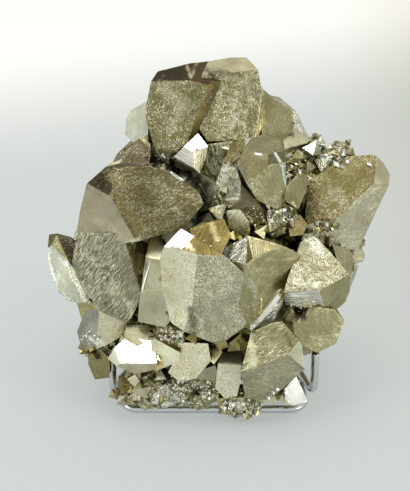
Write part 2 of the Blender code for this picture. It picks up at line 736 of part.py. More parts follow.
def wire(name, path, closed, parts):
    """A round wire along the path, as a mesh with its caps welded on."""
    curve = bpy.data.curves.new(name, "CURVE")
    curve.dimensions = "3D"
    curve.bevel_depth = WIRE / 2 * MM
    curve.bevel_resolution = 2  # eight sides
    curve.use_fill_caps = True
    spline = curve.splines.new("POLY")
    spline.points.add(len(path) - 1)
    for point, place in zip(spline.points, path):
        point.co = (*(place * MM), 1)
        point.tilt = WIRE_TURN if closed else 0
    spline.use_cyclic_u = closed
    drawn = bpy.data.objects.new(name + "_curve", curve)
    parts.objects.link(drawn)
    bpy.context.view_layer.update()
    data = bpy.data.meshes.new_from_object(drawn.evaluated_get(bpy.context.evaluated_depsgraph_get()))
    bpy.data.objects.remove(drawn)
    mesh = bmesh.new()
    mesh.from_mesh(data)
    bmesh.ops.remove_doubles(mesh, verts=mesh.verts[:], dist=SAME)
    obj = new_mesh_object(name, mesh, parts)
    obj.data.shade_smooth()
    obj.data.materials.append(chrome())
    return obj


def stand_base(parts):
    """The wire ring on the table, whose front run is the rail."""
    left = STAND_X - RAIL_HALF
    right = STAND_X + RAIL_HALF
    back = RAIL_Y + BASE_DEPTH
    middle = Vector((STAND_X, back, WIRE / 2))
    corners = [
        middle,
        (left, back, WIRE / 2),
        (left, RAIL_Y, WIRE / 2),
        (right, RAIL_Y, WIRE / 2),
        (right, back, WIRE / 2),
        middle,
    ]
    return wire("stand_base", rounded_path(corners, RAIL_CORNER)[:-1], True, parts)


def stand_cradle(parts):
    """The second wire: a peg, an arm that runs back and inwards across the base wire, the back rest, and the
    same again on the other side."""
    rest_top = Vector((0, math.sin(REST_LEAN), math.cos(REST_LEAN))) * REST_HEIGHT
    half = [
        Vector((-PEG_HALF, PEG_Y, PEG_TOP)),
        Vector((-PEG_HALF, PEG_Y, ARM_Z)),
        Vector((-REST_HALF, ARM_BACK, ARM_Z)),
        Vector((-REST_HALF, ARM_BACK, ARM_Z)) + rest_top,
    ]
    other_half = [Vector((-point.x, point.y, point.z)) for point in reversed(half)]
    corners = [point + Vector((STAND_X, 0, 0)) for point in half + other_half]
    return wire("stand_cradle", rounded_path(corners, BEND), False, parts)


def centre_on_table(objects):
    """Moves the whole object so that its box stands on the origin, bottom middle."""
    places = np.array([vertex.co for obj in objects for vertex in obj.data.vertices])
    low = places.min(axis=0)
    high = places.max(axis=0)
    shift = Matrix.Translation((-(low[0] + high[0]) / 2, -(low[1] + high[1]) / 2, -low[2]))
    for obj in objects:
        obj.data.transform(shift)


def main():
    for obj in list(bpy.data.objects):
        bpy.data.objects.remove(obj)
    parts = new_collection("pyrite_specimen")
    helpers = new_collection("cutters")
    cluster = pyrite_cluster(parts, helpers)
    base = stand_base(parts)
    cradle = stand_cradle(parts)
    centre_on_table([cluster, base, cradle])


if __name__ == "__main__":
    main()
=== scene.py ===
"""The looks of a pyrite specimen: a cluster of brassy octahedral crystals on a chrome wire stand.

The cluster's faces come from the frame. Each is cut into fine triangles, gets the relief that crystal faces
have (grain, combed streaks, growth lines, raised plates) and its own tone of metal. Small crystals fill the
valleys between the faces, and tiny ones crowd in the hollows. The stand's two wires are swept tubes. Lengths
are in millimetres until they reach a mesh; +Z is up, and the front looks towards -Y.
"""

import math

import bmesh
import bpy
import numpy as np
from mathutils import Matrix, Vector

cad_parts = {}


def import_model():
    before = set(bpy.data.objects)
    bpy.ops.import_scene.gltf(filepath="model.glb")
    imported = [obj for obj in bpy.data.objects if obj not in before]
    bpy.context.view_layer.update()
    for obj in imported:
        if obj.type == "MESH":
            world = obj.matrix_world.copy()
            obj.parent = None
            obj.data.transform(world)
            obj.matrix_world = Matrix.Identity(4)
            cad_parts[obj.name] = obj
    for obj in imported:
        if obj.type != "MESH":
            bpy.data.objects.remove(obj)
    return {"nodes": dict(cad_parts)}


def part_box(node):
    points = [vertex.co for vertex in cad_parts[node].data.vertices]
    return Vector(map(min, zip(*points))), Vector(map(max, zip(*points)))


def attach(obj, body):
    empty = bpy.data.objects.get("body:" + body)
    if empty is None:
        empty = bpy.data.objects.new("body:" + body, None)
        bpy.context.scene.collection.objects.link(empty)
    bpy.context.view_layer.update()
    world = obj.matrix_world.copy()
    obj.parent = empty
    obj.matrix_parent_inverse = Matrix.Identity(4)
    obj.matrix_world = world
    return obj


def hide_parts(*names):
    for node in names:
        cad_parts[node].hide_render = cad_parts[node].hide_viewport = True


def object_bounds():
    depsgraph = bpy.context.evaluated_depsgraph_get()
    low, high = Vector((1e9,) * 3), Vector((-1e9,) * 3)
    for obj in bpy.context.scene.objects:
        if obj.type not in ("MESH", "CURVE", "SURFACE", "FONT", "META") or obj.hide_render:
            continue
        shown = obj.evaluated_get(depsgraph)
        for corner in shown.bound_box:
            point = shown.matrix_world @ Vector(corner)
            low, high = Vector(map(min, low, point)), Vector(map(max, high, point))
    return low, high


MM = 0.001

# The drawing: how far the face of the cluster leans back, how high its middle is, how far off the camera is
# and in which direction, and how far behind the middle the back begins
LEAN = math.radians(25)
FACE_HEIGHT = 76.2
SIGHT = 500
TOWARDS_CAMERA = np.array([0, -math.cos(LEAN), math.sin(LEAN)])
BACK_BEGINS = -12

# The camera: the width of the picture and the focal length in pixels, and the width of the sensor in mm
PICTURE_WIDTH = 410
FOCAL_PIXELS = 1000
SENSOR = 36

# The wire stand
WIRE = 4.0
STAND_X = 4.3
RAIL_Y = -34.7
RAIL_HALF = 46.0
RAIL_CORNER = 9.0
BASE_DEPTH = 89.0
ARM_Z = 6.3
ARM_BACK = 56.0
PEG_HALF = 50.6
PEG_Y = -26.0
PEG_TOP = 29.5
BEND = 5.0
REST_HALF = 31.0
REST_HEIGHT = 88.0
REST_LEAN = math.radians(11)

# Tones of the metal: red, green and blue. Besides the metal's own colours they carry painted light and shade:
# white and the palest tones, brighter than the metal itself, are painted highlights, and the near-black one
# is painted shade.
TONES = {
    "white": (1.0, 0.99, 0.95),
    "silver": (0.74, 0.77, 0.68),
    "haze": (0.46, 0.49, 0.41),
    "pewter": (0.36, 0.365, 0.30),
    "mist": (0.56, 0.59, 0.52),
    "ash": (0.28, 0.275, 0.23),
    "slate": (0.16, 0.20, 0.21),
    "blanched": (1.0, 0.97, 0.72),
    "ivory": (0.88, 0.86, 0.66),
    "sand": (0.66, 0.625, 0.45),
    "pale": (0.62, 0.60, 0.42),
    "cream": (0.82, 0.77, 0.47),
    "straw": (0.70, 0.62, 0.30),
    "grey": (0.40, 0.38, 0.25),
    "pink": (0.54, 0.51, 0.36),
    "taupe": (0.36, 0.34, 0.235),
    "clay": (0.25, 0.237, 0.165),
    "olive": (0.26, 0.245, 0.11),
    "moss": (0.19, 0.18, 0.095),
    "khaki": (0.33, 0.31, 0.16),
    "brass": (0.42, 0.39, 0.21),
    "gold": (0.24, 0.190, 0.066),
    "bronze": (0.18, 0.15, 0.05),
    "amber": (0.225, 0.183, 0.083),
    "bistre": (0.135, 0.115, 0.048),
    "umber": (0.10, 0.08, 0.038),
    "brown": (0.042, 0.030, 0.012),
    "rust": (0.07, 0.038, 0.013),
    # Near black: painted shade for deep crevices
    "soot": (0.005, 0.004, 0.003),
}

# Kinds of face: roughness, then the height in mm of its grain, combed streaks, growth lines, plates and
# crust, and the longest edge of its triangles
ROUGHNESS, GRAIN, COMB, LINES, PLATES, CRUST, LONGEST = range(7)
KINDS = {
    "mirror": (0.10, 0.00, 0.00, 0.02, 0.00, 0.00, 2.6),
    "smooth": (0.30, 0.03, 0.00, 0.02, 0.05, 0.00, 1.6),
    "satin": (0.34, 0.12, 0.08, 0.04, 0.10, 0.00, 1.1),
    "fine": (0.32, 0.20, 0.05, 0.00, 0.04, 0.00, 0.9),
    "grained": (0.30, 0.42, 0.08, 0.00, 0.06, 0.05, 0.75),
    "brushed": (0.32, 0.19, 0.09, 0.00, 0.05, 0.00, 0.85),
    "combed": (0.28, 0.20, 0.52, 0.00, 0.08, 0.00, 0.75),
    "lined": (0.20, 0.03, 0.00, 0.28, 0.00, 0.00, 0.8),
    "crusted": (0.24, 0.30, 0.14, 0.00, 0.08, 0.45, 0.7),
}

# The columns that the metal reads, and the names it reads them by
READ = {"matt": ROUGHNESS, "grain": GRAIN, "comb": COMB, "lines": LINES, "crust": CRUST}

# Faces of the large crystals: a point on the face (across, up), its tone, kind and the bearing of its
# streaks.
# Each tone is set to the brightness the face shows in the studio's light. The white and palest faces are
# painted highlights and reflections, some of them brightened against the shade that falls on them. The
# darkest faces are partly their own tarnish and partly painted shade.
FACES = [
    ((-16.5, 85.5), "brown", "smooth", 70),
    ((-15, 67.5), "olive", "grained", 20),
    ((-1, 68), "bronze", "smooth", 20),
    ((15, 91.5), "grey", "smooth", 80),
    ((14, 70), "khaki", "grained", 20),
    ((37.5, 65), "khaki", "satin", 30),
    ((-4.6, 50.6), "white", "mirror", 0),
    ((-2.7, 42.7), "blanched", "lined", 0),
    ((-9.6, 44.9), "white", "lined", 120),
    ((-9.7, 39.6), "silver", "lined", 120),
    ((-17, 22), "bistre", "brushed", 60),
    ((-37, 40.5), "umber", "satin", 80),
    ((-47.5, 33), "brown", "satin", 40),
    ((-52, 18), "clay", "smooth", 20),
    ((-48, -18), "taupe", "combed", 35),
    ((-32, -12), "pale", "lined", 20),
    ((-70, 0), "brown", "satin", 60),
    ((-77.7, 0), "moss", "smooth", 0),
    ((-62, -20), "haze", "smooth", 150),
    ((-12.9, 2.6), "white", "mirror", 0),
    ((-7.5, -1.3), "gold", "lined", 0),
    ((-15, -20), "blanched", "grained", 0),
    ((8, -25), "pink", "grained", 60),
    ((-3, -42), "pink", "grained", 0),
    ((-27, -22), "pale", "satin", 10),
    ((-24.5, 0), "blanched", "satin", 0),
    ((2, 4), "gold", "lined", 20),
    ((0, 11.5), "bronze", "lined", 80),
    ((16, 11), "blanched", "lined", 30),
    ((15, -4), "pewter", "lined", 50),
    ((21.8, -3.8), "gold", "lined", 0),
    ((26.7, -0.8), "cream", "lined", 0),
    ((32, -15), "khaki", "satin", 40),
    ((33, -32), "white", "grained", 40),
    ((30, 50), "moss", "satin", 80),
    ((21, 40), "brass", "fine", 30),
    ((32, 29), "brass", "fine", 30),
    ((36, 44), "moss", "fine", 0),
    ((47, 30), "khaki", "satin", 0),
    ((15.5, 47), "bronze", "satin", 30),
    ((5, 42), "pale", "combed", 10),
    ((12, 28), "grey", "grained", 10),
    ((66, 30), "bronze", "brushed", 38),
    ((88, 37), "sand", "smooth", 0),
    ((80, 12), "pink", "fine", 20),
    ((56, -10), "grey", "grained", 40),
    ((50, -26), "white", "lined", 80),
    ((66, -24), "brass", "satin", 0),
    ((69, -7), "grey", "fine", 0),
    ((57, -42), "brass", "fine", 30),
    ((47, -35), "ivory", "lined", 0),
    ((-48, -42), "sand", "fine", 100),
    ((-58, -42), "pewter", "satin", 0),
    ((-31, -44), "grey", "satin", 80),
    ((-53, -59), "olive", "satin", 0),
    ((-34, -54), "white", "mirror", 0),
    ((-45, -56), "ivory", "smooth", 0),
    ((-33, -61), "pale", "satin", 0),
    ((-21, -55), "blanched", "fine", 0),
    ((-17, -49), "gold", "satin", 0),
    ((-5, -57), "blanched", "grained", 0),
    ((11, -67), "ivory", "grained", 0),
    ((13, -56.5), "blanched", "satin", 0),
    ((5, -54), "cream", "satin", 0),
    ((35, -49), "brass", "combed", 60),
    ((46, -55), "ivory", "smooth", 0),
    ((33, -66), "grey", "fine", 60),
    ((46, -74), "white", "mirror", 0),
    ((18, -81), "white", "crusted", 0),
    ((-36, -71), "ivory", "lined", 0),
    ((-28, -75), "white", "grained", 0),
    ((-18, -76), "silver", "crusted", 0),
    ((-6, -72), "white", "crusted", 0),
    ((-35, 62), "haze", "smooth", 0),
    ((-34, 47), "umber", "fine", 0),
    ((47, 55), "pale", "smooth", 0),
    ((-4, 86.5), "rust", "smooth", 70),
    ((1, 20), "taupe", "smooth", 0),
    ((76.5, -5), "clay", "smooth", 0),
]

# Strokes on the front: tone, kind, share, half width in mm, how far out they reach, then the line they
# follow.
# Their tones follow the brightness seen at each place, so the white and palest strokes are partly painted
# highlights and the darkest partly painted shade.
ANY = 99
# The line of a deep crevice, whose shade is painted along it
CREVICE = ((-24, 43), (-15, 38.5), (-6, 34), (-1, 28), (0, 20), (-4, 11))
STROKES = [
    ("pale", "lined", 0.8, 1.3, ANY, (-9.3, 91), (-7.2, 84)),
    ("pale", "lined", 0.8, 1.2, ANY, (-3.4, 92), (-7, 84)),
    ("rust", "satin", 0.9, 3.4, ANY, (1, 87.5), (11, 86)),
    ("bronze", "satin", 0.7, 5, ANY, (3, 74), (1, 62)),
    ("rust", "satin", 0.9, 3.4, ANY, (4, 85), (4, 78), (1, 71)),
    ("pale", "grained", 0.55, 8, ANY, (-20, 78), (-11, 71), (-17, 60)),
    ("olive", "satin", 0.6, 4.5, ANY, (-25, 66), (-22, 53)),
    ("olive", "satin", 0.6, 3.5, ANY, (-9, 60), (-12, 54)),
    ("pale", "grained", 0.7, 5, ANY, (15, 71), (14, 61), (6, 55)),
    ("silver", "grained", 0.5, 2.5, ANY, (15, 66), (14, 59)),
    ("pale", "grained", 0.6, 4, ANY, (11, 84), (22, 82)),
    ("olive", "satin", 0.8, 5, ANY, (29, 76), (28, 62)),
    ("pale", "combed", 0.6, 1.6, ANY, (20, 86), (22, 72), (19, 60)),
    ("umber", "satin", 0.9, 1.6, ANY, (43.6, 66), (43.8, 55)),
    ("haze", "lined", 0.7, 2.6, ANY, (33, 75), (44, 68)),
    # Painted shade in deep gaps, each stroke only on surfaces that lie deep: near black along the crevice and
    # in a narrow gap on the right, with brown and umber beside the crevice
    ("soot", "smooth", 0.98, 9.5, 19, *CREVICE),
    ("soot", "smooth", 0.98, 7.5, 19, *CREVICE),
    ("brown", "smooth", 0.9, 3, 40, (-6, 33), (0, 31)),
    ("soot", "smooth", 0.95, 1.6, 17, (49.5, 28), (50, 12)),
    ("umber", "satin", 0.8, 3, 22, (-19, 46), (-12, 41)),
    ("bronze", "satin", 0.7, 5, ANY, (-47, 37), (-42, 22), (-31, 7)),
    ("umber", "satin", 0.5, 2, ANY, (-41, 41), (-24, 39.5)),
    ("amber", "smooth", 0.5, 3.5, ANY, (-38, 14), (-33, 7)),
    ("olive", "satin", 0.6, 3, ANY, (-9, 24), (-4, 22)),
    ("moss", "brushed", 0.7, 8, ANY, (-24, 30), (-14, 18)),
    ("taupe", "fine", 0.5, 4, ANY, (-54, 12), (-44, 6)),
    ("pale", "fine", 0.8, 2.2, ANY, (-39, 0.5), (-33, 3.5)),
    ("umber", "combed", 0.6, 3, ANY, (-49, -29), (-40, -37)),
    ("pale", "combed", 0.75, 5.5, ANY, (-48, -21), (-38, -29)),
    ("umber", "combed", 0.45, 5, ANY, (-55, -11), (-42, -14)),
    ("bistre", "lined", 0.5, 3.5, ANY, (-35, -4), (-33, -18)),
    ("cream", "grained", 0.8, 2, ANY, (-37, -31), (-36, -38)),
    ("silver", "crusted", 0.85, 1.4, ANY, (-69, -8), (-58, -29)),
    ("umber", "lined", 0.6, 2, ANY, (-30, -2), (-29, -16)),
    ("cream", "grained", 0.6, 6, ANY, (-18, -8), (-16, -21)),
    ("cream", "grained", 0.55, 4, ANY, (-15, -28), (-13, -40)),
    ("pale", "grained", 0.55, 6, ANY, (-1, -18), (2, -32), (6, -42)),
    ("khaki", "satin", 0.75, 6, ANY, (20, -21), (24, -36)),
    ("cream", "satin", 0.5, 1.6, ANY, (7, -8), (14, -17)),
    ("moss", "satin", 0.9, 4.6, ANY, (-6.5, -32.5), (-5.5, -45)),
    ("grey", "fine", 0.7, 4.5, ANY, (0, -40), (3, -48)),
    ("cream", "mirror", 0.97, 3.6, ANY, (-8, -0.5), (-6, -2.2)),
    ("cream", "lined", 0.5, 2.6, ANY, (3, 11), (6, 3)),
    ("umber", "satin", 0.85, 2, ANY, (-6, 7), (-3.5, 8.5)),
    ("umber", "lined", 0.75, 0.9, ANY, (11, -5), (15, 0)),
    ("umber", "lined", 0.7, 0.9, ANY, (15, -9), (18, -4), (19, 1)),
    ("slate", "lined", 0.7, 1.2, ANY, (14, -3), (16, -7)),
    ("olive", "satin", 0.4, 5, ANY, (22, -24), (24, -38)),
    ("silver", "grained", 0.8, 3, ANY, (6, 20), (8, 30), (11, 40)),
    ("slate", "lined", 0.85, 2.2, ANY, (13, 33), (15.5, 27)),
    ("white", "smooth", 0.85, 1.3, ANY, (10, 23), (16, 24)),
    ("straw", "grained", 0.8, 2, ANY, (4, 18), (8, 16)),
    ("silver", "grained", 0.7, 2.4, ANY, (4, 22), (7, 38)),
    ("umber", "smooth", 0.45, 3, ANY, (70, 44), (84, 43)),
    ("taupe", "fine", 0.5, 6, ANY, (64, 27), (70, 20)),
    ("khaki", "satin", 0.45, 4, ANY, (74, 36), (66, 38)),
    ("gold", "satin", 0.6, 3, ANY, (54, 14), (61, 11)),
    ("silver", "grained", 0.6, 5, ANY, (52, 4), (58, -4)),
    ("clay", "satin", 0.75, 5, ANY, (18, 45), (19, 34)),
    ("clay", "fine", 0.7, 3, ANY, (22, 27), (30, 21), (40, 22)),
    ("pewter", "fine", 0.7, 2.2, ANY, (42, 44), (41, 30)),
    ("gold", "smooth", 0.5, 2.2, ANY, (47, 45), (42, 50)),
    ("silver", "grained", 0.5, 4, ANY, (46, -18), (56, -19)),
    ("rust", "lined", 0.95, 3.2, ANY, (45.5, -33), (50, -36)),
    ("white", "smooth", 0.9, 1.6, ANY, (-59, -45), (-54, -49)),
    ("white", "smooth", 0.9, 1.5, ANY, (-52.5, -48), (-49.5, -50)),
    ("bronze", "smooth", 0.85, 2.2, ANY, (41, -44), (43, -51)),
    ("pale", "combed", 0.5, 6, ANY, (29, -47), (36, -53)),
    ("blanched", "smooth", 0.97, 3.4, ANY, (22.4, -48), (23.0, -52)),
    ("blanched", "smooth", 0.97, 4.8, ANY, (23.2, -54), (23.6, -59)),
    ("silver", "crusted", 0.85, 3, ANY, (-21, -43), (-14, -48)),
    ("pale", "fine", 0.4, 8, ANY, (25, -70), (40, -62)),
    ("umber", "lined", 0.5, 2, ANY, (9, 46), (6, 34)),
    ("pale", "crusted", 0.6, 3, ANY, (34, 16), (44, 20)),
]

# Where no small crystals grow: middle (across, up) and radius
BARE = [
    ((-46, 2), 9), ((2, 76), 14), ((18, -26), 13), ((29, 66), 11), ((-44, -66), 6), ((-27, -24), 9),
    ((4, 90), 6), ((-33, -52), 9), ((46, -73), 5),
]

# Single crystals that fill gaps between the faces: drawn place (across, up, out), size in mm and tone. The
# white one stands where a highlight shows, and its tone is a painted highlight.
LUMPS = [
    (-39.8, -64, -2, 2.3, "umber"), (-39.6, -67.5, -1, 2.3, "taupe"), (-39, -70.5, 1, 2.4, "bronze"),
    (-33.5, -66, 7, 4.5, "taupe"), (-28, -66.5, 8, 4.6, "sand"), (-23, -65.5, 6, 4.2, "olive"),
    (-31.5, -71.5, 15, 4.8, "sand"), (-24, -75, 17, 5.2, "sand"), (-6, -76.5, 18, 4.2, "taupe"),
    (34, -75.5, 12, 5.5, "pale"), (40, -75, 11, 5.0, "ivory"), (29.5, -76.5, 15, 4.5, "grey"),
    (-5, -47, 24, 4.5, "bronze"), (8, -48, 24, 5.0, "khaki"), (14, -49.5, 25, 5.5, "olive"),
    (19.5, -47.5, 24, 4.5, "brass"), (-10, -48.5, 22, 4.0, "umber"), (13, 4.5, 34, 3.4, "straw"),
    (24, 8, 22, 5.0, "taupe"), (19, 14, 26, 5.5, "cream"), (44.5, 2, 9, 7.5, "grey"),
    (40, 5.5, 11, 6.0, "taupe"), (48, 6.5, 7, 5.5, "sand"), (27, 7, 29, 4.5, "cream"),
    (17.5, 4.5, 28, 6.0, "straw"), (43, -33.5, 16, 7.0, "pale"), (20.5, -44.5, 20, 6.0, "cream"),
    (-12.5, -44, 24.5, 3.2, "white"), (-36.5, -38.5, 12, 5.5, "pale"), (53.5, 47.5, -1, 6.0, "silver"),
    (-21, -65, 11, 6.5, "silver"), (-26, -65, 10, 5.0, "pale"),
]

# Thin raised ridges on the front: tone, half width in mm, then both ends. The white, silver and cream tones
# are painted highlights along edges that catch the light.
BLADES = [
    ("white", 0.8, (-26.7, -6), (-31.5, -24)),
    ("white", 0.9, (34.5, 46.5), (38, 41)),
    ("silver", 0.9, (38, 41), (40, 29)),
    ("silver", 0.9, (51, 29), (47.6, 16)),
    ("white", 0.6, (24.5, 45.8), (28.8, 45.2)),
    ("white", 0.7, (-17.5, 36.8), (-10.5, 32)),
    ("white", 0.9, (80.6, 40.8), (83.2, 39.6)),
    ("white", 0.8, (42, -25), (60, -24.2)),
    ("silver", 0.8, (44, -28.5), (50, -27)),
    ("cream", 0.8, (26.5, -33), (29, -36)),
    ("cream", 0.7, (28, -26), (27.4, -36)),
    ("white", 2.3, (24.5, -39), (38.5, -21.5)),
    ("umber", 0.8, (-4, 14.5), (3, 18)),
    ("silver", 0.6, (-3, 31), (1.5, 23)),
    ("white", 1.0, (-22.5, -62.5), (-17, -68)),
    ("silver", 0.9, (-66.5, -10), (-59, -27)),
]

# Where tiny crystals cover the front: middle (across, up), half width, half height, how many, largest in mm
DRUSE = [
    ((-8, -73), 16, 7, 900, 1.2),
    ((-30, -74), 9, 6, 120, 1.4),
    ((18, -81), 12, 4, 420, 1.7),
    ((-18, -45), 7, 4, 260, 1.7),
    ((36, 14), 8, 5, 360, 1.6),
    ((43, 37), 5, 6, 240, 1.3),
    ((59, 8), 5, 5, 200, 1.6),
    ((64, 45), 9, 7, 240, 2.0),
    ((24, 15), 6, 6, 240, 1.2),
    ((22, 28), 4, 5, 110, 1.2),
    ((-57, -46), 6, 4, 110, 1.6),
    ((36, -75), 5, 4, 130, 1.3),
    ((-22, 45), 4, 5, 80, 1.5),
    ((48, -31), 6, 3, 110, 1.6),
]

# What the other faces are made of: (tone, kind) by lot
OTHER_FACES = [
    ("olive", "satin"), ("khaki", "smooth"), ("grey", "grained"), ("taupe", "combed"), ("brass", "grained"),
    ("pale", "satin"), ("bronze", "satin"), ("olive", "lined"), ("grey", "smooth"), ("silver", "crusted"),
    ("khaki", "combed"), ("gold", "satin"), ("pale", "smooth"), ("taupe", "satin"), ("straw", "lined"),
]

# Tones of the small crystals in the valleys, and of the tiny ones. The tiny ones' tones are mostly white and
# silver: their own pale grey, lifted as painted light against the shade in their crowd.
SMALL_TONES = [
    "olive", "khaki", "sand", "pale", "grey", "taupe", "straw", "pale", "silver", "brass", "khaki",
]
TINY_TONES = [
    "silver", "mist", "white", "silver", "mist", "white", "pale", "silver", "white", "haze", "white",
]

# The cluster's mesh: sectors round the face's middle, and halves of the back, which is coarser. Edges are cut
# from the longest down. The relief fades out near a face's border (mm), and the border wobbles a little.
SECTORS = 6
BACK_SECTORS = 2
BACK_COARSER = 1.6
COARSER_FROM = -8
COARSER_OVER = 15
FIRST_CUT = 64.0
LAST_CUT = 0.5
FADE = 0.9
BORDER_WOBBLE = 0.14

# Sizes of the patterns that the relief is made of
FINE_GRAIN = 1.7
COARSE_GRAIN = 6.0
STREAK_LENGTH = 3.4
STREAK_WIDTH = 1.1
GROWTH_LINE = 1.5
PLATE = 9
PYRAMIDS = (2.2, 1.2)
CRUST_PATCH = 11.0
CLOUD = 13.0

# Small crystals: how far a tip reaches, as a share of the size, how far it stays off the wires, how sharp a
# valley has to be for them, and how far apart they are tried along it
TIP_REACH = 1.3
OFF_WIRE = 0.8
VALLEY = math.radians(28)
VALLEY_STEP = 1.1

# How far apart the points of a wire are: in its tube, and where small crystals are kept off it
TUBE_STEP = 4.0
WIRE_STEP = 2

# The studio's lights: place and the height that they face, in metres, size, power and tint
WHITE = (1, 1, 1)
LIGHTS = {
    "overhead": ((-0.04, 0.12, 1.1), 0.08, 0.9, 3.6, WHITE),
    "window": ((-1.2, -0.2, 0.9), 0.08, 0.8, 1.2, (0.95, 0.98, 1.0)),
    "lamp": ((0.53, -0.30, 1.05), 0.12, 0.34, 1.3, WHITE),
    "low_lamp": ((0.92, -0.48, 0.10), 0.04, 0.36, 1.5, WHITE),
    "left_card": ((-0.95, -0.42, 0.22), 0.08, 0.5, 0.6, (0.97, 0.99, 1.0)),
    "far_lamp": ((-0.6, -0.5, 0.75), 0.08, 0.12, 1.0, WHITE),
}
ROOM_COLOUR = (0.84, 0.845, 0.77, 1)
ROOM_STRENGTH = 0.9

# The floor, in mm: how far it reaches to each side, forward and back
FLOOR_HALF = 6e3
FLOOR_FRONT = -4e3
FLOOR_BACK = 9e3


# ---------------------------------------------------------------- numbers


def lot(*keys):
    """A number from 0 to 1 for each row of whole numbers, the same on every run."""
    mixed = np.zeros(np.broadcast(*keys).shape, np.uint64)
    for key, prime in zip(keys, (73856093, 19349663, 83492791, 2654435761)):
        whole = np.asarray(key).astype(np.int64).astype(np.uint64)
        mixed ^= (whole * np.uint64(prime)) & np.uint64(0xFFFFFFFF)
    for shift, prime in ((15, 2246822519), (13, 3266489917), (16, 668265263)):
        mixed = ((mixed ^ (mixed >> np.uint64(shift))) * np.uint64(prime)) & np.uint64(0xFFFFFFFF)
    return (mixed ^ (mixed >> np.uint64(15))).astype(float) / 0xFFFFFFFF


def noise(places, seed=0):
    """Smooth noise from 0 to 1 at these places, in cells of one unit: the corners' lots, blended."""
    cell = np.floor(places)
    share = places - cell
    share = share * share * (3 - 2 * share)
    cell = cell.astype(np.int64)
    total = np.zeros(len(places))
    for x in (0, 1):
        for y in (0, 1):
            for z in (0, 1):
                weight = np.ones(len(places))
                for axis, step in enumerate((x, y, z)):
                    weight *= share[:, axis] if step else 1 - share[:, axis]
                total += weight * lot(cell[:, 0] + x, cell[:, 1] + y, cell[:, 2] + z, seed)
    return total


def layered(places, layers, seed=0):
    """Noise of several sizes, each half as wide and about half as high as the last, round zero."""
    return sum((noise(places * 2**k, seed + k) - 0.5) * 0.55**k for k in range(layers))


def plates(across, along, seed):
    """Three-sided plates: heights fall off as a triangle from scattered points, and are cut flat on top."""
    best = np.zeros(len(across))
    for i in (-1, 0, 1):
        for j in (-1, 0, 1):
            cell_x = np.floor(across) + i
            cell_y = np.floor(along) + j
            x = across - cell_x - lot(cell_x, cell_y, seed)
            y = along - cell_y - lot(cell_x, cell_y, seed + 1)
            size = 0.5 + 0.6 * lot(cell_x, cell_y, seed + 2)
            far = np.maximum(-y, 0.866 * np.abs(x) + 0.5 * y)
            best = np.maximum(best, np.clip((size - far) / 0.1, 0, 0.5 + lot(cell_x, cell_y, seed + 3)))
    return best


# ---------------------------------------------------------------- the drawing of the cluster's face


def to_drawing(places, middle):
    """(across, up, out) in the drawing for places in mm: turned by the lean, and larger where nearer."""
    x, y, z = (places - middle).T
    out = -y * math.cos(LEAN) + z * math.sin(LEAN)
    up = y * math.sin(LEAN) + z * math.cos(LEAN)
    return np.stack([x, up, out], axis=1) / (1 - out / SIGHT)[:, None]


def from_drawing(places, middle):
    """Drawn places (across, up, out) as they really stand."""
    across, up, out = (places / (1 + places[:, 2:] / SIGHT)).T
    back = up * math.sin(LEAN) - out * math.cos(LEAN)
    raised = up * math.cos(LEAN) + out * math.sin(LEAN)
    return np.column_stack([across, back, raised]) + middle


# ---------------------------------------------------------------- the cluster


def merged(node):
    """The points (mm) and triangles of a CAD node, with its loose corners joined."""
    mesh = bmesh.new()
    mesh.from_mesh(node.data)
    bmesh.ops.remove_doubles(mesh, verts=mesh.verts[:], dist=2e-6)
    bmesh.ops.dissolve_limit(mesh, angle_limit=math.radians(0.25), verts=mesh.verts[:], edges=mesh.edges[:])
    bmesh.ops.triangulate(mesh, faces=mesh.faces[:], ngon_method="BEAUTY")
    data = bpy.data.meshes.new("merged")
    mesh.to_mesh(data)
    mesh.free()
    points = np.empty(len(data.vertices) * 3)
    data.vertices.foreach_get("co", points)
    triangles = np.empty(len(data.polygons) * 3, np.int32)
    data.polygons.foreach_get("vertices", triangles)
    bpy.data.meshes.remove(data)
    return points.reshape(-1, 3) / MM, triangles.reshape(-1, 3)


def normals_of(points, triangles):
    """Each triangle's unit normal and area: half the cross product of two sides."""
    a, b, c = (points[triangles[:, k]] for k in range(3))
    cross = np.cross(b - a, c - a)
    length = np.linalg.norm(cross, axis=1)
    return cross / np.maximum(length, 1e-12)[:, None], length / 2


def edges_of(triangles):
    """The unique edges, and for each triangle the numbers of its edges 01, 12 and 20."""
    start = triangles.T.ravel().astype(np.int64)
    end = triangles[:, [1, 2, 0]].T.ravel().astype(np.int64)
    count = int(triangles.max()) + 1
    codes, number = np.unique(np.minimum(start, end) * count + np.maximum(start, end), return_inverse=True)
    return np.column_stack([codes // count, codes % count]), number.reshape(3, -1).T


def sides_of_edges(number):
    """The two triangles beside each edge of a closed mesh."""
    return (np.argsort(number.ravel(), kind="stable") // 3).reshape(-1, 2)


def flat_faces(points, triangles):
    """The number of each triangle's flat face: neighbours within a degree of each other share one number."""
    normal, _ = normals_of(points, triangles)
    edges, number = edges_of(triangles)
    one, other = sides_of_edges(number).T
    flat = (normal[one] * normal[other]).sum(axis=1) > math.cos(math.radians(1))
    one, other = one[flat], other[flat]
    face = np.arange(len(triangles))
    while True:
        least = np.minimum(face[one], face[other])
        grown = face.copy()
        np.minimum.at(grown, one, least)
        np.minimum.at(grown, other, least)
        grown = grown[grown]
        if (grown == face).all():
            return np.unique(face, return_inverse=True)[1]
        face = grown


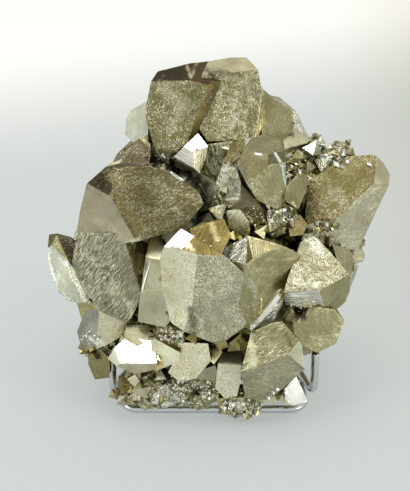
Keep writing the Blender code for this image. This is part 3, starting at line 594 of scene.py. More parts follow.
def refined(points, triangles, face, longest):
    """Cuts edges at their middles, the longest first, until none is longer than its finer face allows."""
    span = FIRST_CUT
    while True:
        edges, number = edges_of(triangles)
        ends = points[edges]
        length = np.linalg.norm(ends[:, 0] - ends[:, 1], axis=1)
        middle = ends.mean(axis=1)
        cut = length > np.maximum(longest[face[sides_of_edges(number)]].min(axis=1), span)
        if not cut.any():
            if span < LAST_CUT:
                return points, triangles, face
            span *= 0.7
            continue
        new = np.full(len(edges), -1)
        new[cut] = len(points) + np.arange(cut.sum())
        points = np.concatenate([points, middle[cut]])
        mid = new[number]
        count = (mid >= 0).sum(axis=1)
        # Turned so that the one cut edge is the first, or the one whole edge is the last.
        turn = np.zeros(len(triangles), int)
        turn[count == 1] = np.argmax(mid[count == 1] >= 0, axis=1)
        turn[count == 2] = (np.argmin(mid[count == 2], axis=1) + 1) % 3
        index = (np.arange(3)[None] + turn[:, None]) % 3
        a, b, c = np.take_along_axis(triangles, index, axis=1).T
        ab, bc, ca = np.take_along_axis(mid, index, axis=1).T
        parts = [(count == 0, (a, b, c))]
        parts += [(count == 1, (a, ab, c)), (count == 1, (ab, b, c))]
        parts += [(count == 2, (ab, b, bc)), (count == 2, (a, ab, bc)), (count == 2, (a, bc, c))]
        quarters = ((a, ab, ca), (ab, b, bc), (ca, bc, c), (ab, bc, ca))
        parts += [(count == 3, corners) for corners in quarters]
        triangles = np.concatenate([np.stack(corners, axis=1)[chosen] for chosen, corners in parts])
        face = np.concatenate([face[chosen] for chosen, _ in parts])


def foremost(drawn, triangles, place):
    """The triangle in front at a drawn place, and its height there; None where there is nothing."""
    a, b, c = (drawn[triangles[:, k]] for k in range(3))
    sides = []
    for start, end in ((a, b), (b, c), (c, a)):
        run_across, run_up = (end - start)[:, :2].T
        across, up = (place - start[:, :2]).T
        sides.append(run_across * up - run_up * across)
    inside = np.flatnonzero((np.min(sides, axis=0) >= 0) & (np.sum(sides, axis=0) > 1e-9))
    if not len(inside):
        return None
    share = np.array(sides)[:, inside] / np.sum(sides, axis=0)[inside]
    height = share[1] * a[inside, 2] + share[2] * b[inside, 2] + share[0] * c[inside, 2]
    best = np.argmax(height)
    return inside[best], height[best]


def looks_of_faces(points, triangles, face, middle):
    """Each flat face's plane, middle, tone, kind and streak bearing. A listed point gives its look to the
    foremost face there and to all faces in its plane; the other planes get theirs by lot."""
    count = face.max() + 1
    normal, area = normals_of(points, triangles)
    weight = np.bincount(face, area, count)
    plane = np.stack([np.bincount(face, area * normal[:, k], count) / weight for k in range(3)], axis=1)
    centre = points[triangles].mean(axis=1)
    centre = np.stack([np.bincount(face, area * centre[:, k], count) / weight for k in range(3)], axis=1)
    offset = (plane * centre).sum(axis=1)
    key = np.round(np.column_stack([plane * 40, offset * 2])).astype(int)
    tone = np.empty((count, 3))
    kind = np.empty((count, len(KINDS["mirror"])))
    bearing = np.degrees(lot(*key.T) * math.pi)
    chosen = (lot(*(key + 7).T) * len(OTHER_FACES)).astype(int) % len(OTHER_FACES)
    for number, (tone_name, kind_name) in enumerate(OTHER_FACES):
        tone[chosen == number] = TONES[tone_name]
        kind[chosen == number] = KINDS[kind_name]
    tone *= (0.85 + 0.3 * lot(*(key + 11).T))[:, None]
    drawn = to_drawing(points, middle)
    for place, tone_name, kind_name, streaks in FACES:
        hit = foremost(drawn, triangles, place)
        if hit is None:
            continue
        found = face[hit[0]]
        same = ((plane @ plane[found]) > 0.9995) & (np.abs(offset - offset[found]) < 0.4)
        tone[same] = TONES[tone_name]
        kind[same] = KINDS[kind_name]
        bearing[same] = streaks
    return plane, centre, tone, kind, bearing


def stroke_weights(drawn, facing):
    """How much of each stroke there is at each point: full on its line and nothing at its half width, with a
    ragged edge, and only on what faces the front."""
    ragged = 0.7 * (layered(drawn / 2.6, 2, 200) - 0.5)
    flat = drawn[:, :2]
    for tone, kind, share, width, highest, *line in STROKES:
        line = np.array(line)
        near = ((flat > line.min(axis=0) - width) & (flat < line.max(axis=0) + width)).all(axis=1)
        near = np.flatnonzero(near & facing & (drawn[:, 2] < highest))
        places = flat[near]
        distance = np.full(len(near), 1e3)
        for start, end in zip(line, line[1:]):
            run = end - start
            along = np.clip((places - start) @ run / (run @ run), 0, 1)
            off = np.linalg.norm(places - start - along[:, None] * run, axis=1)
            distance = np.minimum(distance, off)
        weight = np.clip(1.6 * (1 - distance / width + ragged[near]), 0, 1) * share
        yield near, weight, np.array(TONES[tone]), np.array(KINDS[kind])


def streak_frame(plane, bearing):
    """Each face's directions along its streaks, which follow the bearing as drawn, and across them."""
    turn = np.radians(bearing)
    up = np.array([0, math.sin(LEAN), math.cos(LEAN)])
    drawn = np.cos(turn)[:, None] * up + np.sin(turn)[:, None] * np.array([1.0, 0, 0])
    along = drawn - (drawn * plane).sum(axis=1)[:, None] * plane
    along /= np.maximum(np.linalg.norm(along, axis=1), 1e-6)[:, None]
    return along, np.cross(plane, along)


def relief(places, along, across, kind, face):
    """The height in mm at places on faces. Grain is fine noise, and streaks are noise drawn out along the
    bearing. Growth lines are steps across it, plates are three-sided, and crust is a crowd of pyramids."""
    grain, comb, lines, plate, crust = kind.T[GRAIN:LONGEST]
    slot = face * 13.7
    height = grain * (1.2 * layered(places / FINE_GRAIN, 2, 3) + 0.6 * layered(places / COARSE_GRAIN, 2, 5))
    bend = 1.6 * noise(places / 7.0, 9) + 0.7 * noise(places / 2.6, 10)
    streaks = np.column_stack([along / STREAK_LENGTH + bend, (across + 1.5 * bend) / STREAK_WIDTH, slot])
    height += comb * layered(streaks, 2, 12)
    line = across / GROWTH_LINE + 0.5 * noise(np.column_stack([along / 9, across / 3, slot]), 15)
    step = np.floor(line)
    ramp = line - step
    rough = layered(np.column_stack([along / 14, across / 0.8, slot]), 2, 18)
    height += lines * (lot(step, face, 17) * (1 - ramp) + 0.4 * rough)
    height += plate * plates(along / PLATE + slot, across / PLATE, 20)
    large, small = (
        plates(along / size + slot, across / size, seed) for size, seed in zip(PYRAMIDS, (30, 40))
    )
    patchy = np.clip(3 * noise(places / CRUST_PATCH, 50) - 0.9, 0.15, 1)
    height += crust * (large + 0.6 * small) * patchy * 0.8
    return height


def edge_distance(points, triangles, border, reach):
    """How far each point is from the nearest border point, by passing distances along the edges."""
    edges, _ = edges_of(triangles)
    length = np.linalg.norm(points[edges[:, 0]] - points[edges[:, 1]], axis=1)
    distance = np.where(border, 0.0, reach)
    for _ in range(6):
        for one, other in ((0, 1), (1, 0)):
            np.minimum.at(distance, edges[:, one], distance[edges[:, other]] + length)
    return distance


def piece(name, points, triangles, smooth, sharp_edges=None):
    """A mesh object at the origin, with its place in its mesh."""
    data = bpy.data.meshes.new(name)
    data.from_pydata(points * MM, [], triangles.tolist())
    data.polygons.foreach_set("use_smooth", np.full(len(triangles), smooth))
    if sharp_edges is not None:
        ends = np.empty(len(data.edges) * 2, np.int32)
        data.edges.foreach_get("vertices", ends)
        ends = np.sort(ends.reshape(-1, 2), axis=1).astype(np.int64)
        codes = ends[:, 0] * len(points) + ends[:, 1]
        wanted = sharp_edges[:, 0].astype(np.int64) * len(points) + sharp_edges[:, 1]
        sharp = data.attributes.new("sharp_edge", "BOOLEAN", "EDGE")
        sharp.data.foreach_set("value", np.isin(codes, wanted))
    data.update()
    obj = bpy.data.objects.new(name, data)
    bpy.context.scene.collection.objects.link(obj)
    return obj


def give(obj, name, values, domain="FACE"):
    """A number or a colour for each face or point of the piece, under this name."""
    data = obj.data
    if values.ndim == 1:
        layer = data.attributes.new(name, "FLOAT", domain)
        layer.data.foreach_set("value", values.astype(np.float32))
    else:
        layer = data.attributes.new(name, "FLOAT_COLOR", domain)
        full = np.column_stack([values, np.ones(len(values))])
        layer.data.foreach_set("color", full.astype(np.float32).ravel())


def face_map(obj, places, name="along_face"):
    """A UV map in mm along and across each face's streaks."""
    layer = obj.data.uv_layers.new(name=name)
    layer.data.foreach_set("uv", places.astype(np.float32).ravel())


def even_look(obj, tones, matt, grain, lines, material):
    """The look of a piece whose faces are all of one kind, with a tone for each face."""
    give(obj, "tone", tones)
    for name, value in zip(READ, (matt, grain, 0.0, lines, 0.0)):
        give(obj, name, np.full(len(tones), value))
    obj.data.materials.append(material)


def painted(points, triangles, face, owner, plane, tone, kind, middle):
    """Tone and kind at each corner, and kind at each point. A slow cloud thins out the texture of each face
    in places and deepens its tone there, and the strokes are laid over that."""
    cloud = np.clip(0.5 + 1.8 * layered(points / CLOUD + owner[:, None] * 3.1, 3, 140), 0, 1)
    texture = 0.35 + 0.85 * cloud
    corner_tone = tone[face][:, None] * (0.80 + 0.30 * cloud[triangles])[:, :, None]
    corner_kind = np.repeat(kind[face][:, None], 3, axis=1)
    corner_kind[:, :, GRAIN:LINES] *= texture[triangles][:, :, None]
    point_kind = kind[owner].copy()
    point_kind[:, GRAIN:LINES] *= texture[:, None]
    facing = plane[owner] @ TOWARDS_CAMERA > 0.12
    for near, weight, stroke_tone, stroke_kind in stroke_weights(to_drawing(points, middle), facing):
        full = np.zeros(len(points))
        full[near] = weight
        touched = np.flatnonzero(full[triangles].max(axis=1) > 0)
        share = full[triangles[touched]][:, :, None]
        corner_tone[touched] += (stroke_tone - corner_tone[touched]) * share
        corner_kind[touched] += (stroke_kind - corner_kind[touched]) * share
        point_kind[near] += (stroke_kind - point_kind[near]) * weight[:, None]
    return corner_tone, corner_kind, point_kind


def cluster_pieces(node, middle, material):
    """The whole cluster, cut fine and given its relief, as one mesh for each sector. The relief moves points
    square to their face, and the borders between faces are a little ragged."""
    points, triangles = merged(node)
    face = flat_faces(points, triangles)
    plane, centre, tone, kind, bearing = looks_of_faces(points, triangles, face, middle)
    along, across = streak_frame(plane, bearing)
    drawn = to_drawing(centre, middle)
    coarser = 1 + (BACK_COARSER - 1) * np.clip((COARSER_FROM - drawn[:, 2]) / COARSER_OVER, 0, 1)
    points, triangles, face = refined(points, triangles, face, kind[:, LONGEST] * coarser)
    edges, number = edges_of(triangles)
    pair = face[sides_of_edges(number)]
    sharp = edges[pair[:, 0] != pair[:, 1]]
    border = np.zeros(len(points), bool)
    border[sharp] = True
    owner = np.zeros(len(points), int)
    owner[triangles] = face[:, None]
    fade = np.clip(edge_distance(points, triangles, border, 3 * FADE) / FADE, 0, 1)
    fade = fade * fade * (3 - 2 * fade)
    corner_tone, corner_kind, point_kind = painted(
        points, triangles, face, owner, plane, tone, kind, middle
    )
    u = ((points - centre[owner]) * along[owner]).sum(axis=1)
    v = ((points - centre[owner]) * across[owner]).sum(axis=1)
    height = relief(points, u, v, point_kind, owner) * fade
    ragged = np.stack([noise(points / 1.3, 60 + k) for k in range(3)], axis=1) - 0.5
    moved = points + height[:, None] * plane[owner] + BORDER_WOBBLE * ragged * border[:, None]
    turn = np.arctan2(drawn[:, 1], drawn[:, 0]) / math.tau + 0.5
    sector = (turn * SECTORS).astype(int) % SECTORS
    sector = np.where(drawn[:, 2] < BACK_BEGINS, SECTORS + (drawn[:, 0] > 0), sector)
    pieces = []
    for number in range(SECTORS + BACK_SECTORS):
        chosen = np.flatnonzero(sector[face] == number)
        used, corner = np.unique(triangles[chosen], return_inverse=True)
        back = np.full(len(points), -1)
        back[used] = np.arange(len(used))
        sharp_here = np.sort(back[sharp[(back[sharp] >= 0).all(axis=1)]], axis=1)
        obj = piece(f"crystals_{number + 1}", moved[used], corner.reshape(-1, 3), True, sharp_here)
        give(obj, "tone", corner_tone[chosen].reshape(-1, 3), "CORNER")
        for name, column in READ.items():
            give(obj, name, corner_kind[chosen, :, column].ravel(), "CORNER")
        own = face[chosen]
        rel = points[triangles[chosen]] - centre[own][:, None]
        face_map(obj, np.stack([(rel * way[own][:, None]).sum(axis=2) for way in (along, across)], axis=2))
        obj.data.materials.append(material)
        pieces.append(obj)
    return pieces


def turned_at_random(count, seed):
    """Rotation matrices by lot: each from a unit quaternion with four random parts."""
    rows = np.arange(count)
    parts = np.stack([lot(rows, seed + k) - 0.5 for k in range(4)], axis=1)
    w, x, y, z = (parts / np.linalg.norm(parts, axis=1)[:, None]).T
    return np.stack(
        [
            np.stack([1 - 2 * (y * y + z * z), 2 * (x * y - w * z), 2 * (x * z + w * y)], axis=1),
            np.stack([2 * (x * y + w * z), 1 - 2 * (x * x + z * z), 2 * (y * z - w * x)], axis=1),
            np.stack([2 * (x * z - w * y), 2 * (y * z + w * x), 1 - 2 * (x * x + y * y)], axis=1),
        ],
        axis=1,
    )


def octahedra(name, places, sizes, tones, seed, material):
    """Small crystals as one mesh: six tips along three crossed axes, each tip at its own distance."""
    count = len(places)
    rows = np.arange(count)
    tips = np.array([(1, 0, 0), (-1, 0, 0), (0, 1, 0), (0, -1, 0), (0, 0, 1), (0, 0, -1.0)])
    reach = np.stack([0.75 + 0.5 * lot(rows, seed + 10 + k) for k in range(6)], axis=1)
    local = tips[None] * (reach * sizes[:, None])[:, :, None]
    points = places[:, None] + np.einsum("nij,nkj->nki", turned_at_random(count, seed), local)
    sides = np.array([(0, 2, 4), (2, 1, 4), (1, 3, 4), (3, 0, 4), (2, 0, 5), (1, 2, 5), (3, 1, 5), (0, 3, 5)])
    triangles = (rows[:, None, None] * 6 + sides[None]).reshape(-1, 3)
    obj = piece(name, points.reshape(-1, 3), triangles, False)
    matt = np.repeat(0.12 + 0.2 * lot(rows, seed + 20), len(sides))
    even_look(obj, np.repeat(tones, len(sides), axis=0), matt, 0.02, 0.03, material)
    rel = (points - places[:, None]).reshape(-1, 3)[triangles]
    face_map(obj, rel[:, :, :2])
    return obj


def clear_of(places, sizes, wires, box):
    """Which small crystals stay inside the cluster's box and off the wires."""
    reach = TIP_REACH * sizes
    clear = ((places - reach[:, None] > box[0]) & (places + reach[:, None] < box[1])).all(axis=1)
    for wire in wires:
        for start in range(0, len(wire), 40):
            some = wire[start : start + 40]
            near = np.linalg.norm(places[:, None] - some[None], axis=2).min(axis=1)
            clear &= near > reach + WIRE / 2 + OFF_WIRE
    return clear


def tones_by_lot(names, rows, seed):
    """A tone of this palette for each row, some darker than others."""
    palette = np.array([TONES[name] for name in names])
    chosen = (lot(rows, seed) * len(palette)).astype(int) % len(palette)
    return palette[chosen] * (0.70 + 0.45 * lot(rows, seed + 1))[:, None]


def valley_places(points, triangles):
    """Rows, places, sizes and crowding of small crystals along the valleys between faces: places are spread
    along every inner edge of the cluster, larger where slow noise is high, and each is sunk about half in."""
    normal, _ = normals_of(points, triangles)
    centre = points[triangles].mean(axis=1)
    edges, number = edges_of(triangles)
    one, other = sides_of_edges(number).T
    towards = centre[other] - centre[one]
    inner = (towards * normal[one]).sum(axis=1) > 0.02 * np.linalg.norm(towards, axis=1)
    inner &= (normal[one] * normal[other]).sum(axis=1) < math.cos(VALLEY)
    edges, one, other = edges[inner], one[inner], other[inner]
    length = np.linalg.norm(points[edges[:, 0]] - points[edges[:, 1]], axis=1)
    travelled = np.cumsum(length)
    rows = np.arange(int(travelled[-1] / VALLEY_STEP))
    at = (rows + lot(rows, 71)) / len(rows) * travelled[-1]
    edge = np.searchsorted(travelled, at)
    share = ((travelled[edge] - at) / length[edge])[:, None]
    places = points[edges[edge, 0]] * share + points[edges[edge, 1]] * (1 - share)
    crowd = noise(places / 17.0, 81)
    sizes = (0.5 + 2.6 * lot(rows, 72) ** 3) * (0.5 + 0.8 * crowd)
    out = normal[one[edge]] + normal[other[edge]]
    out /= np.linalg.norm(out, axis=1)[:, None]
    slide = np.stack([lot(rows, 73 + k) - 0.5 for k in range(3)], axis=1) * 2.2
    slide -= (slide * out).sum(axis=1)[:, None] * out
    raised = sizes * (0.1 + 0.4 * lot(rows, 77)) + 0.6 * np.linalg.norm(slide, axis=1)
    return rows, places + slide + out * raised[:, None], sizes, crowd


def valley_crystals(points, triangles, middle, wires, box, material):
    """Small crystals in the valleys, more of them where they crowd and none in the bare places, and the
    single ones that fill gaps."""
    rows, places, sizes, crowd = valley_places(points, triangles)
    kept = lot(rows, 78) < np.clip(2.4 * crowd - 0.6, 0.06, 1)
    kept &= clear_of(places, sizes, wires, box)
    seen = to_drawing(places, middle)
    for place, radius in BARE:
        kept &= (np.linalg.norm(seen[:, :2] - place, axis=1) > radius) | (seen[:, 2] < BACK_BEGINS)
    lumps = np.array([lump[:4] for lump in LUMPS])
    filling = from_drawing(lumps[:, :3], middle)
    lump_tones = np.array([TONES[lump[4]] for lump in LUMPS])
    clear = clear_of(filling, lumps[:, 3], wires, box)
    tones = np.concatenate([tones_by_lot(SMALL_TONES, rows[kept], 79), lump_tones[clear]])
    places = np.concatenate([places[kept], filling[clear]])
    sizes = np.concatenate([sizes[kept], lumps[clear, 3]])
    return octahedra("valley_crystals", places, sizes, tones, 90, material)


def druse(points, triangles, middle, wires, box, material):
    """Tiny crystals in a crowd: their places are strewn over the front faces inside each listed oval."""
    normal, area = normals_of(points, triangles)
    centre = to_drawing(points, middle)[triangles].mean(axis=1)
    front = (normal @ TOWARDS_CAMERA > 0.05) & (centre[:, 2] > -14)
    found = []
    grown = []
    for number, (place, half_width, half_height, count, largest) in enumerate(DRUSE):
        half = np.array([half_width, half_height])
        rows = np.arange(count * 4) + number * 10000
        near = np.flatnonzero(front & (np.abs(centre[:, :2] - place) < half + 12).all(axis=1))
        travelled = np.cumsum(area[near])
        chosen = near[np.searchsorted(travelled, lot(rows, 301) * travelled[-1])]
        first, second = lot(rows, 302), lot(rows, 303)
        folded = first + second > 1
        first, second = np.where(folded, 1 - first, first), np.where(folded, 1 - second, second)
        a, b, c = (points[triangles[chosen, k]] for k in range(3))
        places = a + first[:, None] * (b - a) + second[:, None] * (c - a)
        reach = (((to_drawing(places, middle)[:, :2] - place) / half) ** 2).sum(axis=1)
        kept = np.flatnonzero(reach < 0.5 + 0.6 * lot(rows, 304))[:count]
        sizes = largest * (0.25 + 0.75 * lot(rows[kept], 305) ** 2)
        found.append(places[kept] + normal[chosen[kept]] * (0.2 * sizes)[:, None])
        grown.append(sizes)
    places, sizes = np.concatenate(found), np.concatenate(grown)
    kept = clear_of(places, sizes, wires, box)
    places, sizes = places[kept], sizes[kept]
    tones = tones_by_lot(TINY_TONES, np.arange(len(places)), 311)
    return octahedra("druse", places, sizes, tones, 320, material)


def ridges(points, triangles, middle, material):
    """Long thin ridges on the front: each is a four-sided bar with pointed ends, half sunk in its face."""
    drawn = to_drawing(points, middle)
    ends = []
    widths = []
    tones = []
    for tone, width, *places in BLADES:
        hits = [foremost(drawn, triangles, place) for place in places]
        if None in hits:
            continue
        ends.append([(*place, hit[1] + 0.3 * width) for place, hit in zip(places, hits)])
        widths.append(width)
        tones.append(TONES[tone])
    ends, widths = np.array(ends), np.array(widths)
    run = ends[:, 1] - ends[:, 0]
    side = np.column_stack([-run[:, 1], run[:, 0], np.zeros(len(run))])
    side /= np.linalg.norm(side, axis=1)[:, None]
    share = np.array([0, 0.12, 0.12, 0.12, 0.12, 0.88, 0.88, 0.88, 0.88, 1])
    across = np.array([0, 1, 0, -1, 0, 1, 0, -1, 0, 0])
    out = np.array([0, 0, 0.8, 0, -0.8, 0, 0.8, 0, -0.8, 0])
    local = ends[:, :1] + share[None, :, None] * run[:, None]
    local = local + (across[None] * widths[:, None])[:, :, None] * side[:, None]
    local[:, :, 2] += out[None] * widths[:, None]
    turns = [(k, (k + 1) % 4) for k in range(4)]
    sides = [(0, 1 + k, 1 + after) for k, after in turns]
    sides += [(1 + after, 1 + k, 5 + k) for k, after in turns]
    sides += [(1 + after, 5 + k, 5 + after) for k, after in turns]
    sides += [(9, 5 + after, 5 + k) for k, after in turns]
    triangles = (np.arange(len(ends))[:, None, None] * len(share) + np.array(sides)[None]).reshape(-1, 3)
    placed = from_drawing(local.reshape(-1, 3), middle)
    normal, _ = normals_of(placed, triangles)
    core = from_drawing(ends.mean(axis=1), middle).repeat(len(sides), axis=0)
    if (normal * (placed[triangles].mean(axis=1) - core)).sum() < 0:
        triangles = triangles[:, ::-1]
    obj = piece("ridges", placed, triangles, False)
    even_look(obj, np.repeat(np.array(tones), len(sides), axis=0), 0.2, 0.03, 0.02, material)
    face_map(obj, placed[triangles][:, :, :2])
    return obj


# ---------------------------------------------------------------- materials


def colour(red, green, blue):
    return (red, green, blue, 1.0)


class Value:
    """A socket with arithmetic: an expression on it adds the Math nodes that work it out."""

    def __init__(self, shader, socket):
        self.shader = shader
        self.socket = socket

    def maths(self, operation, *others):
        return self.shader.node("ShaderNodeMath", {"operation": operation}, *others)

    def __add__(self, other):
        return self.maths("ADD", self, other)

    def __radd__(self, other):
        return self.maths("ADD", other, self)

    def __sub__(self, other):
        return self.maths("SUBTRACT", self, other)

    def __rsub__(self, other):
        return self.maths("SUBTRACT", other, self)

    def __mul__(self, other):
        return self.maths("MULTIPLY", self, other)

    def __rmul__(self, other):
        return self.maths("MULTIPLY", other, self)

    def above(self, low, high):
        """0 below low, 1 above high, and smooth between them."""
        return self.shader.node(
            "ShaderNodeMapRange", {"interpolation_type": "SMOOTHSTEP"}, self, low, high, 0.0, 1.0
        )


class Shader:
    """A material's nodes."""

    def __init__(self, name):
        self.material = bpy.data.materials.new(name)
        self.material.use_nodes = True
        self.tree = self.material.node_tree
        self.bsdf = self.tree.nodes["Principled BSDF"]

    def node(self, kind, settings=None, *values, output=0, **named):
        """A node with these settings, its inputs given in order or by name, as one of its outputs."""
        node = self.tree.nodes.new(kind)
        for key, value in (settings or {}).items():
            setattr(node, key, value)
        pairs = [(node.inputs[number], value) for number, value in enumerate(values)]
        pairs += [(node.inputs[key.replace("_", " ")], value) for key, value in named.items()]
        for socket, value in pairs:
            self.feed(socket, value)
        return Value(self, node.outputs[output])

    def feed(self, socket, value):
        if isinstance(value, Value):
            self.tree.links.new(value.socket, socket)
        else:
            socket.default_value = value

    def set(self, **inputs):
        for key, value in inputs.items():
            self.feed(self.bsdf.inputs[key.replace("_", " ")], value)

    def attribute(self, name, output="Fac"):
        return self.node("ShaderNodeAttribute", {"attribute_name": name}, output=output)

    def places(self, scale=(1, 1, 1)):
        """The piece's own coordinates in metres, times this scale."""
        return self.stretched(self.node("ShaderNodeTexCoord", output="Object"), scale)

    def stretched(self, vector, scale):
        return self.node("ShaderNodeVectorMath", {"operation": "MULTIPLY"}, vector, scale)

    def noise(self, vector, scale, detail=2.0, roughness=0.5):
        return self.node(
            "ShaderNodeTexNoise", None, Vector=vector, Scale=scale, Detail=detail, Roughness=roughness
        )

    def blend(self, share, one, other, kind="MIX"):
        """A colour between two, by share."""
        node = self.tree.nodes.new("ShaderNodeMix")
        node.data_type = "RGBA"
        node.blend_type = kind
        self.feed(node.inputs["Factor"], share)
        self.feed(node.inputs[6], one)
        self.feed(node.inputs[7], other)
        return Value(self, node.outputs[2])

    def times(self, one, other):
        """A colour multiplied by another."""
        return self.blend(1.0, one, other, "MULTIPLY")

    def bump(self, strength, distance, height):
        return self.node("ShaderNodeBump", None, Strength=strength, Distance=distance, Height=height)


def pyrite_metal():
    """Brassy metal. Each face's own tone is clouded by a browner film. Where it has grain or streaks, painted
    highlights lie on the raised parts of its bump and on scattered flakes, and painted shade lies in its
    pits, between its streaks and in its growth lines. The roughness follows the face's kind, and the finest
    relief is a bump."""
    shader = Shader("pyrite")
    tone = shader.attribute("tone", "Color")
    matt, grain, comb, lines, crust = (shader.attribute(name) for name in READ)
    where = shader.places()
    along = shader.node("ShaderNodeUVMap", {"uv_map": "along_face"})
    clouds = shader.noise(where, 90.0, 4.0, 0.62).above(0.40, 0.66)
    speckle = shader.noise(where, 1500.0, 2.0, 0.5)
    patches = shader.noise(where, 240.0, 3.0, 0.6)
    flakes = shader.noise(shader.stretched(along, (0.42, 1.1, 1.0)), 1.0, 3.0, 0.65)
    streaks = shader.noise(shader.stretched(along, (0.26, 1.5, 1.0)), 1.0, 3.0, 0.6)
    growth = shader.noise(shader.stretched(along, (0.045, 1.5, 1.0)), 1.0, 3.0, 0.65)
    filmed = shader.blend(clouds * 0.45, tone, shader.times(tone, colour(0.66, 0.58, 0.40)))
    # Painted highlights: pale where the speckle of the bump stands high, on streak ridges and on flakes
    glint_share = speckle.above(0.50, 0.60) * (grain * 2.1 + crust * 1.3) * patches.above(0.36, 0.56)
    bright = shader.blend(0.65, tone, colour(1.0, 0.97, 0.80))
    combed = streaks.above(0.50, 0.62) * comb * 1.3 + flakes.above(0.54, 0.64) * (grain + comb * 0.8)
    paler = shader.blend(glint_share + combed, filmed, bright)
    # Painted shade: darker in the bump's pits, between its streaks and in the grooves of growth lines
    pit_shade = (1.0 - speckle.above(0.38, 0.48)) * (grain * 1.3 + crust)
    gap = pit_shade + (1.0 - streaks.above(0.38, 0.5)) * comb * 1.5
    lined = (1.0 - growth.above(0.40, 0.52)) * lines * 2.4
    darker = shader.blend(gap + lined, paler, shader.times(tone, colour(0.36, 0.32, 0.24)))
    rough = matt + (speckle - 0.5) * 0.25 + clouds * 0.06
    height = (
        speckle * (grain * 0.9 + crust * 0.6 + comb * 0.3)
        + streaks * comb * 0.8
        + growth * (lines * 1.1 + 0.02)
        + shader.noise(where, 2600.0, 1.0) * 0.02
    )
    bump = shader.bump(0.6, 0.001, height)
    shader.set(Base_Color=darker, Roughness=rough, Metallic=1.0, Normal=bump)
    return shader.material


def chrome_wire():
    """Bright chrome with faint draw marks along the wire and a few dull spots."""
    shader = Shader("chrome_wire")
    along = shader.node("ShaderNodeUVMap", {"uv_map": "along_wire"})
    marks = shader.noise(shader.stretched(along, (0.15, 6.0, 1.0)), 1.0, 3.0, 0.6)
    spots = shader.noise(shader.places(), 260.0, 3.0, 0.6).above(0.60, 0.72)
    tint = shader.blend(spots * 0.5, colour(0.64, 0.66, 0.69), colour(0.45, 0.45, 0.44))
    bump = shader.bump(0.15, 0.0003, marks)
    shader.set(Base_Color=tint, Roughness=0.07 + marks * 0.06 + spots * 0.15, Metallic=1.0, Normal=bump)
    return shader.material


def studio_card():
    """The pale floor: whiter far back than in front, as painted light, and darker and warmer behind on the
    right, as a painted shadow of the cluster. It glows, and the glow is painted light that lifts the shadows
    on it.
    """
    shader = Shader("studio_card")
    across = shader.node("ShaderNodeSeparateXYZ", None, shader.places(), output="X")
    back = shader.node("ShaderNodeSeparateXYZ", None, shader.places(), output="Y")
    # Painted light: whiter far back
    far = (back - across * 0.5).above(0.30, 0.85)
    # Painted shadow of the cluster: darker and warmer on the right
    right = (across - back * 0.15).above(0.02, 0.20) * back.above(-0.10, 0.25) * (1.0 - back.above(0.25, 2.5))
    tint = shader.blend(far, colour(0.236, 0.250, 0.246), colour(0.40, 0.40, 0.39))
    tint = shader.blend(right * 0.8, tint, shader.times(tint, colour(0.82, 0.77, 0.67)))
    grain = shader.noise(shader.places(), 300.0)
    bump = shader.bump(0.05, 0.001, grain)
    # The glow is painted light that lifts the floor's shadows
    shader.set(Base_Color=tint, Roughness=0.7, Normal=bump, Emission_Color=tint, Emission_Strength=1.5)
    return shader.material


# ---------------------------------------------------------------- the stand


def rounded(corners, radius, closed, steps=10):
    """A bent wire's centre line: straight runs, with an arc of this radius at each corner between them."""
    corners = np.asarray(corners, float)
    path = [] if closed else [corners[0]]
    inner = range(len(corners)) if closed else range(1, len(corners) - 1)
    for index in inner:
        corner = corners[index]
        to_start = corners[index - 1] - corner
        to_end = corners[(index + 1) % len(corners)] - corner
        to_start /= np.linalg.norm(to_start)
        to_end /= np.linalg.norm(to_end)
        half = math.acos(float(np.clip(to_start @ to_end, -1, 1))) / 2
        if half > math.radians(89.5):
            path.append(corner)
            continue
        bisector = (to_start + to_end) / np.linalg.norm(to_start + to_end)
        middle = corner + bisector * radius / math.sin(half)
        outward = -bisector
        side = (to_end - to_start) / np.linalg.norm(to_end - to_start)
        angles = np.linspace(-1, 1, steps) * (math.pi / 2 - half)
        path += list(middle + radius * (np.cos(angles)[:, None] * outward + np.sin(angles)[:, None] * side))
    if not closed:
        path.append(corners[-1])
    return np.array(path)


def spread(path, gap, closed):
    """The path with extra points so that none is further than gap from the next."""
    ends = np.concatenate([path, path[:1]]) if closed else path
    parts = []
    for start, end in zip(ends, ends[1:]):
        count = max(1, round(float(np.linalg.norm(end - start)) / gap))
        parts.append(start + (end - start) * (np.arange(count) / count)[:, None])
    return np.concatenate(parts if closed else [*parts, path[-1:]])


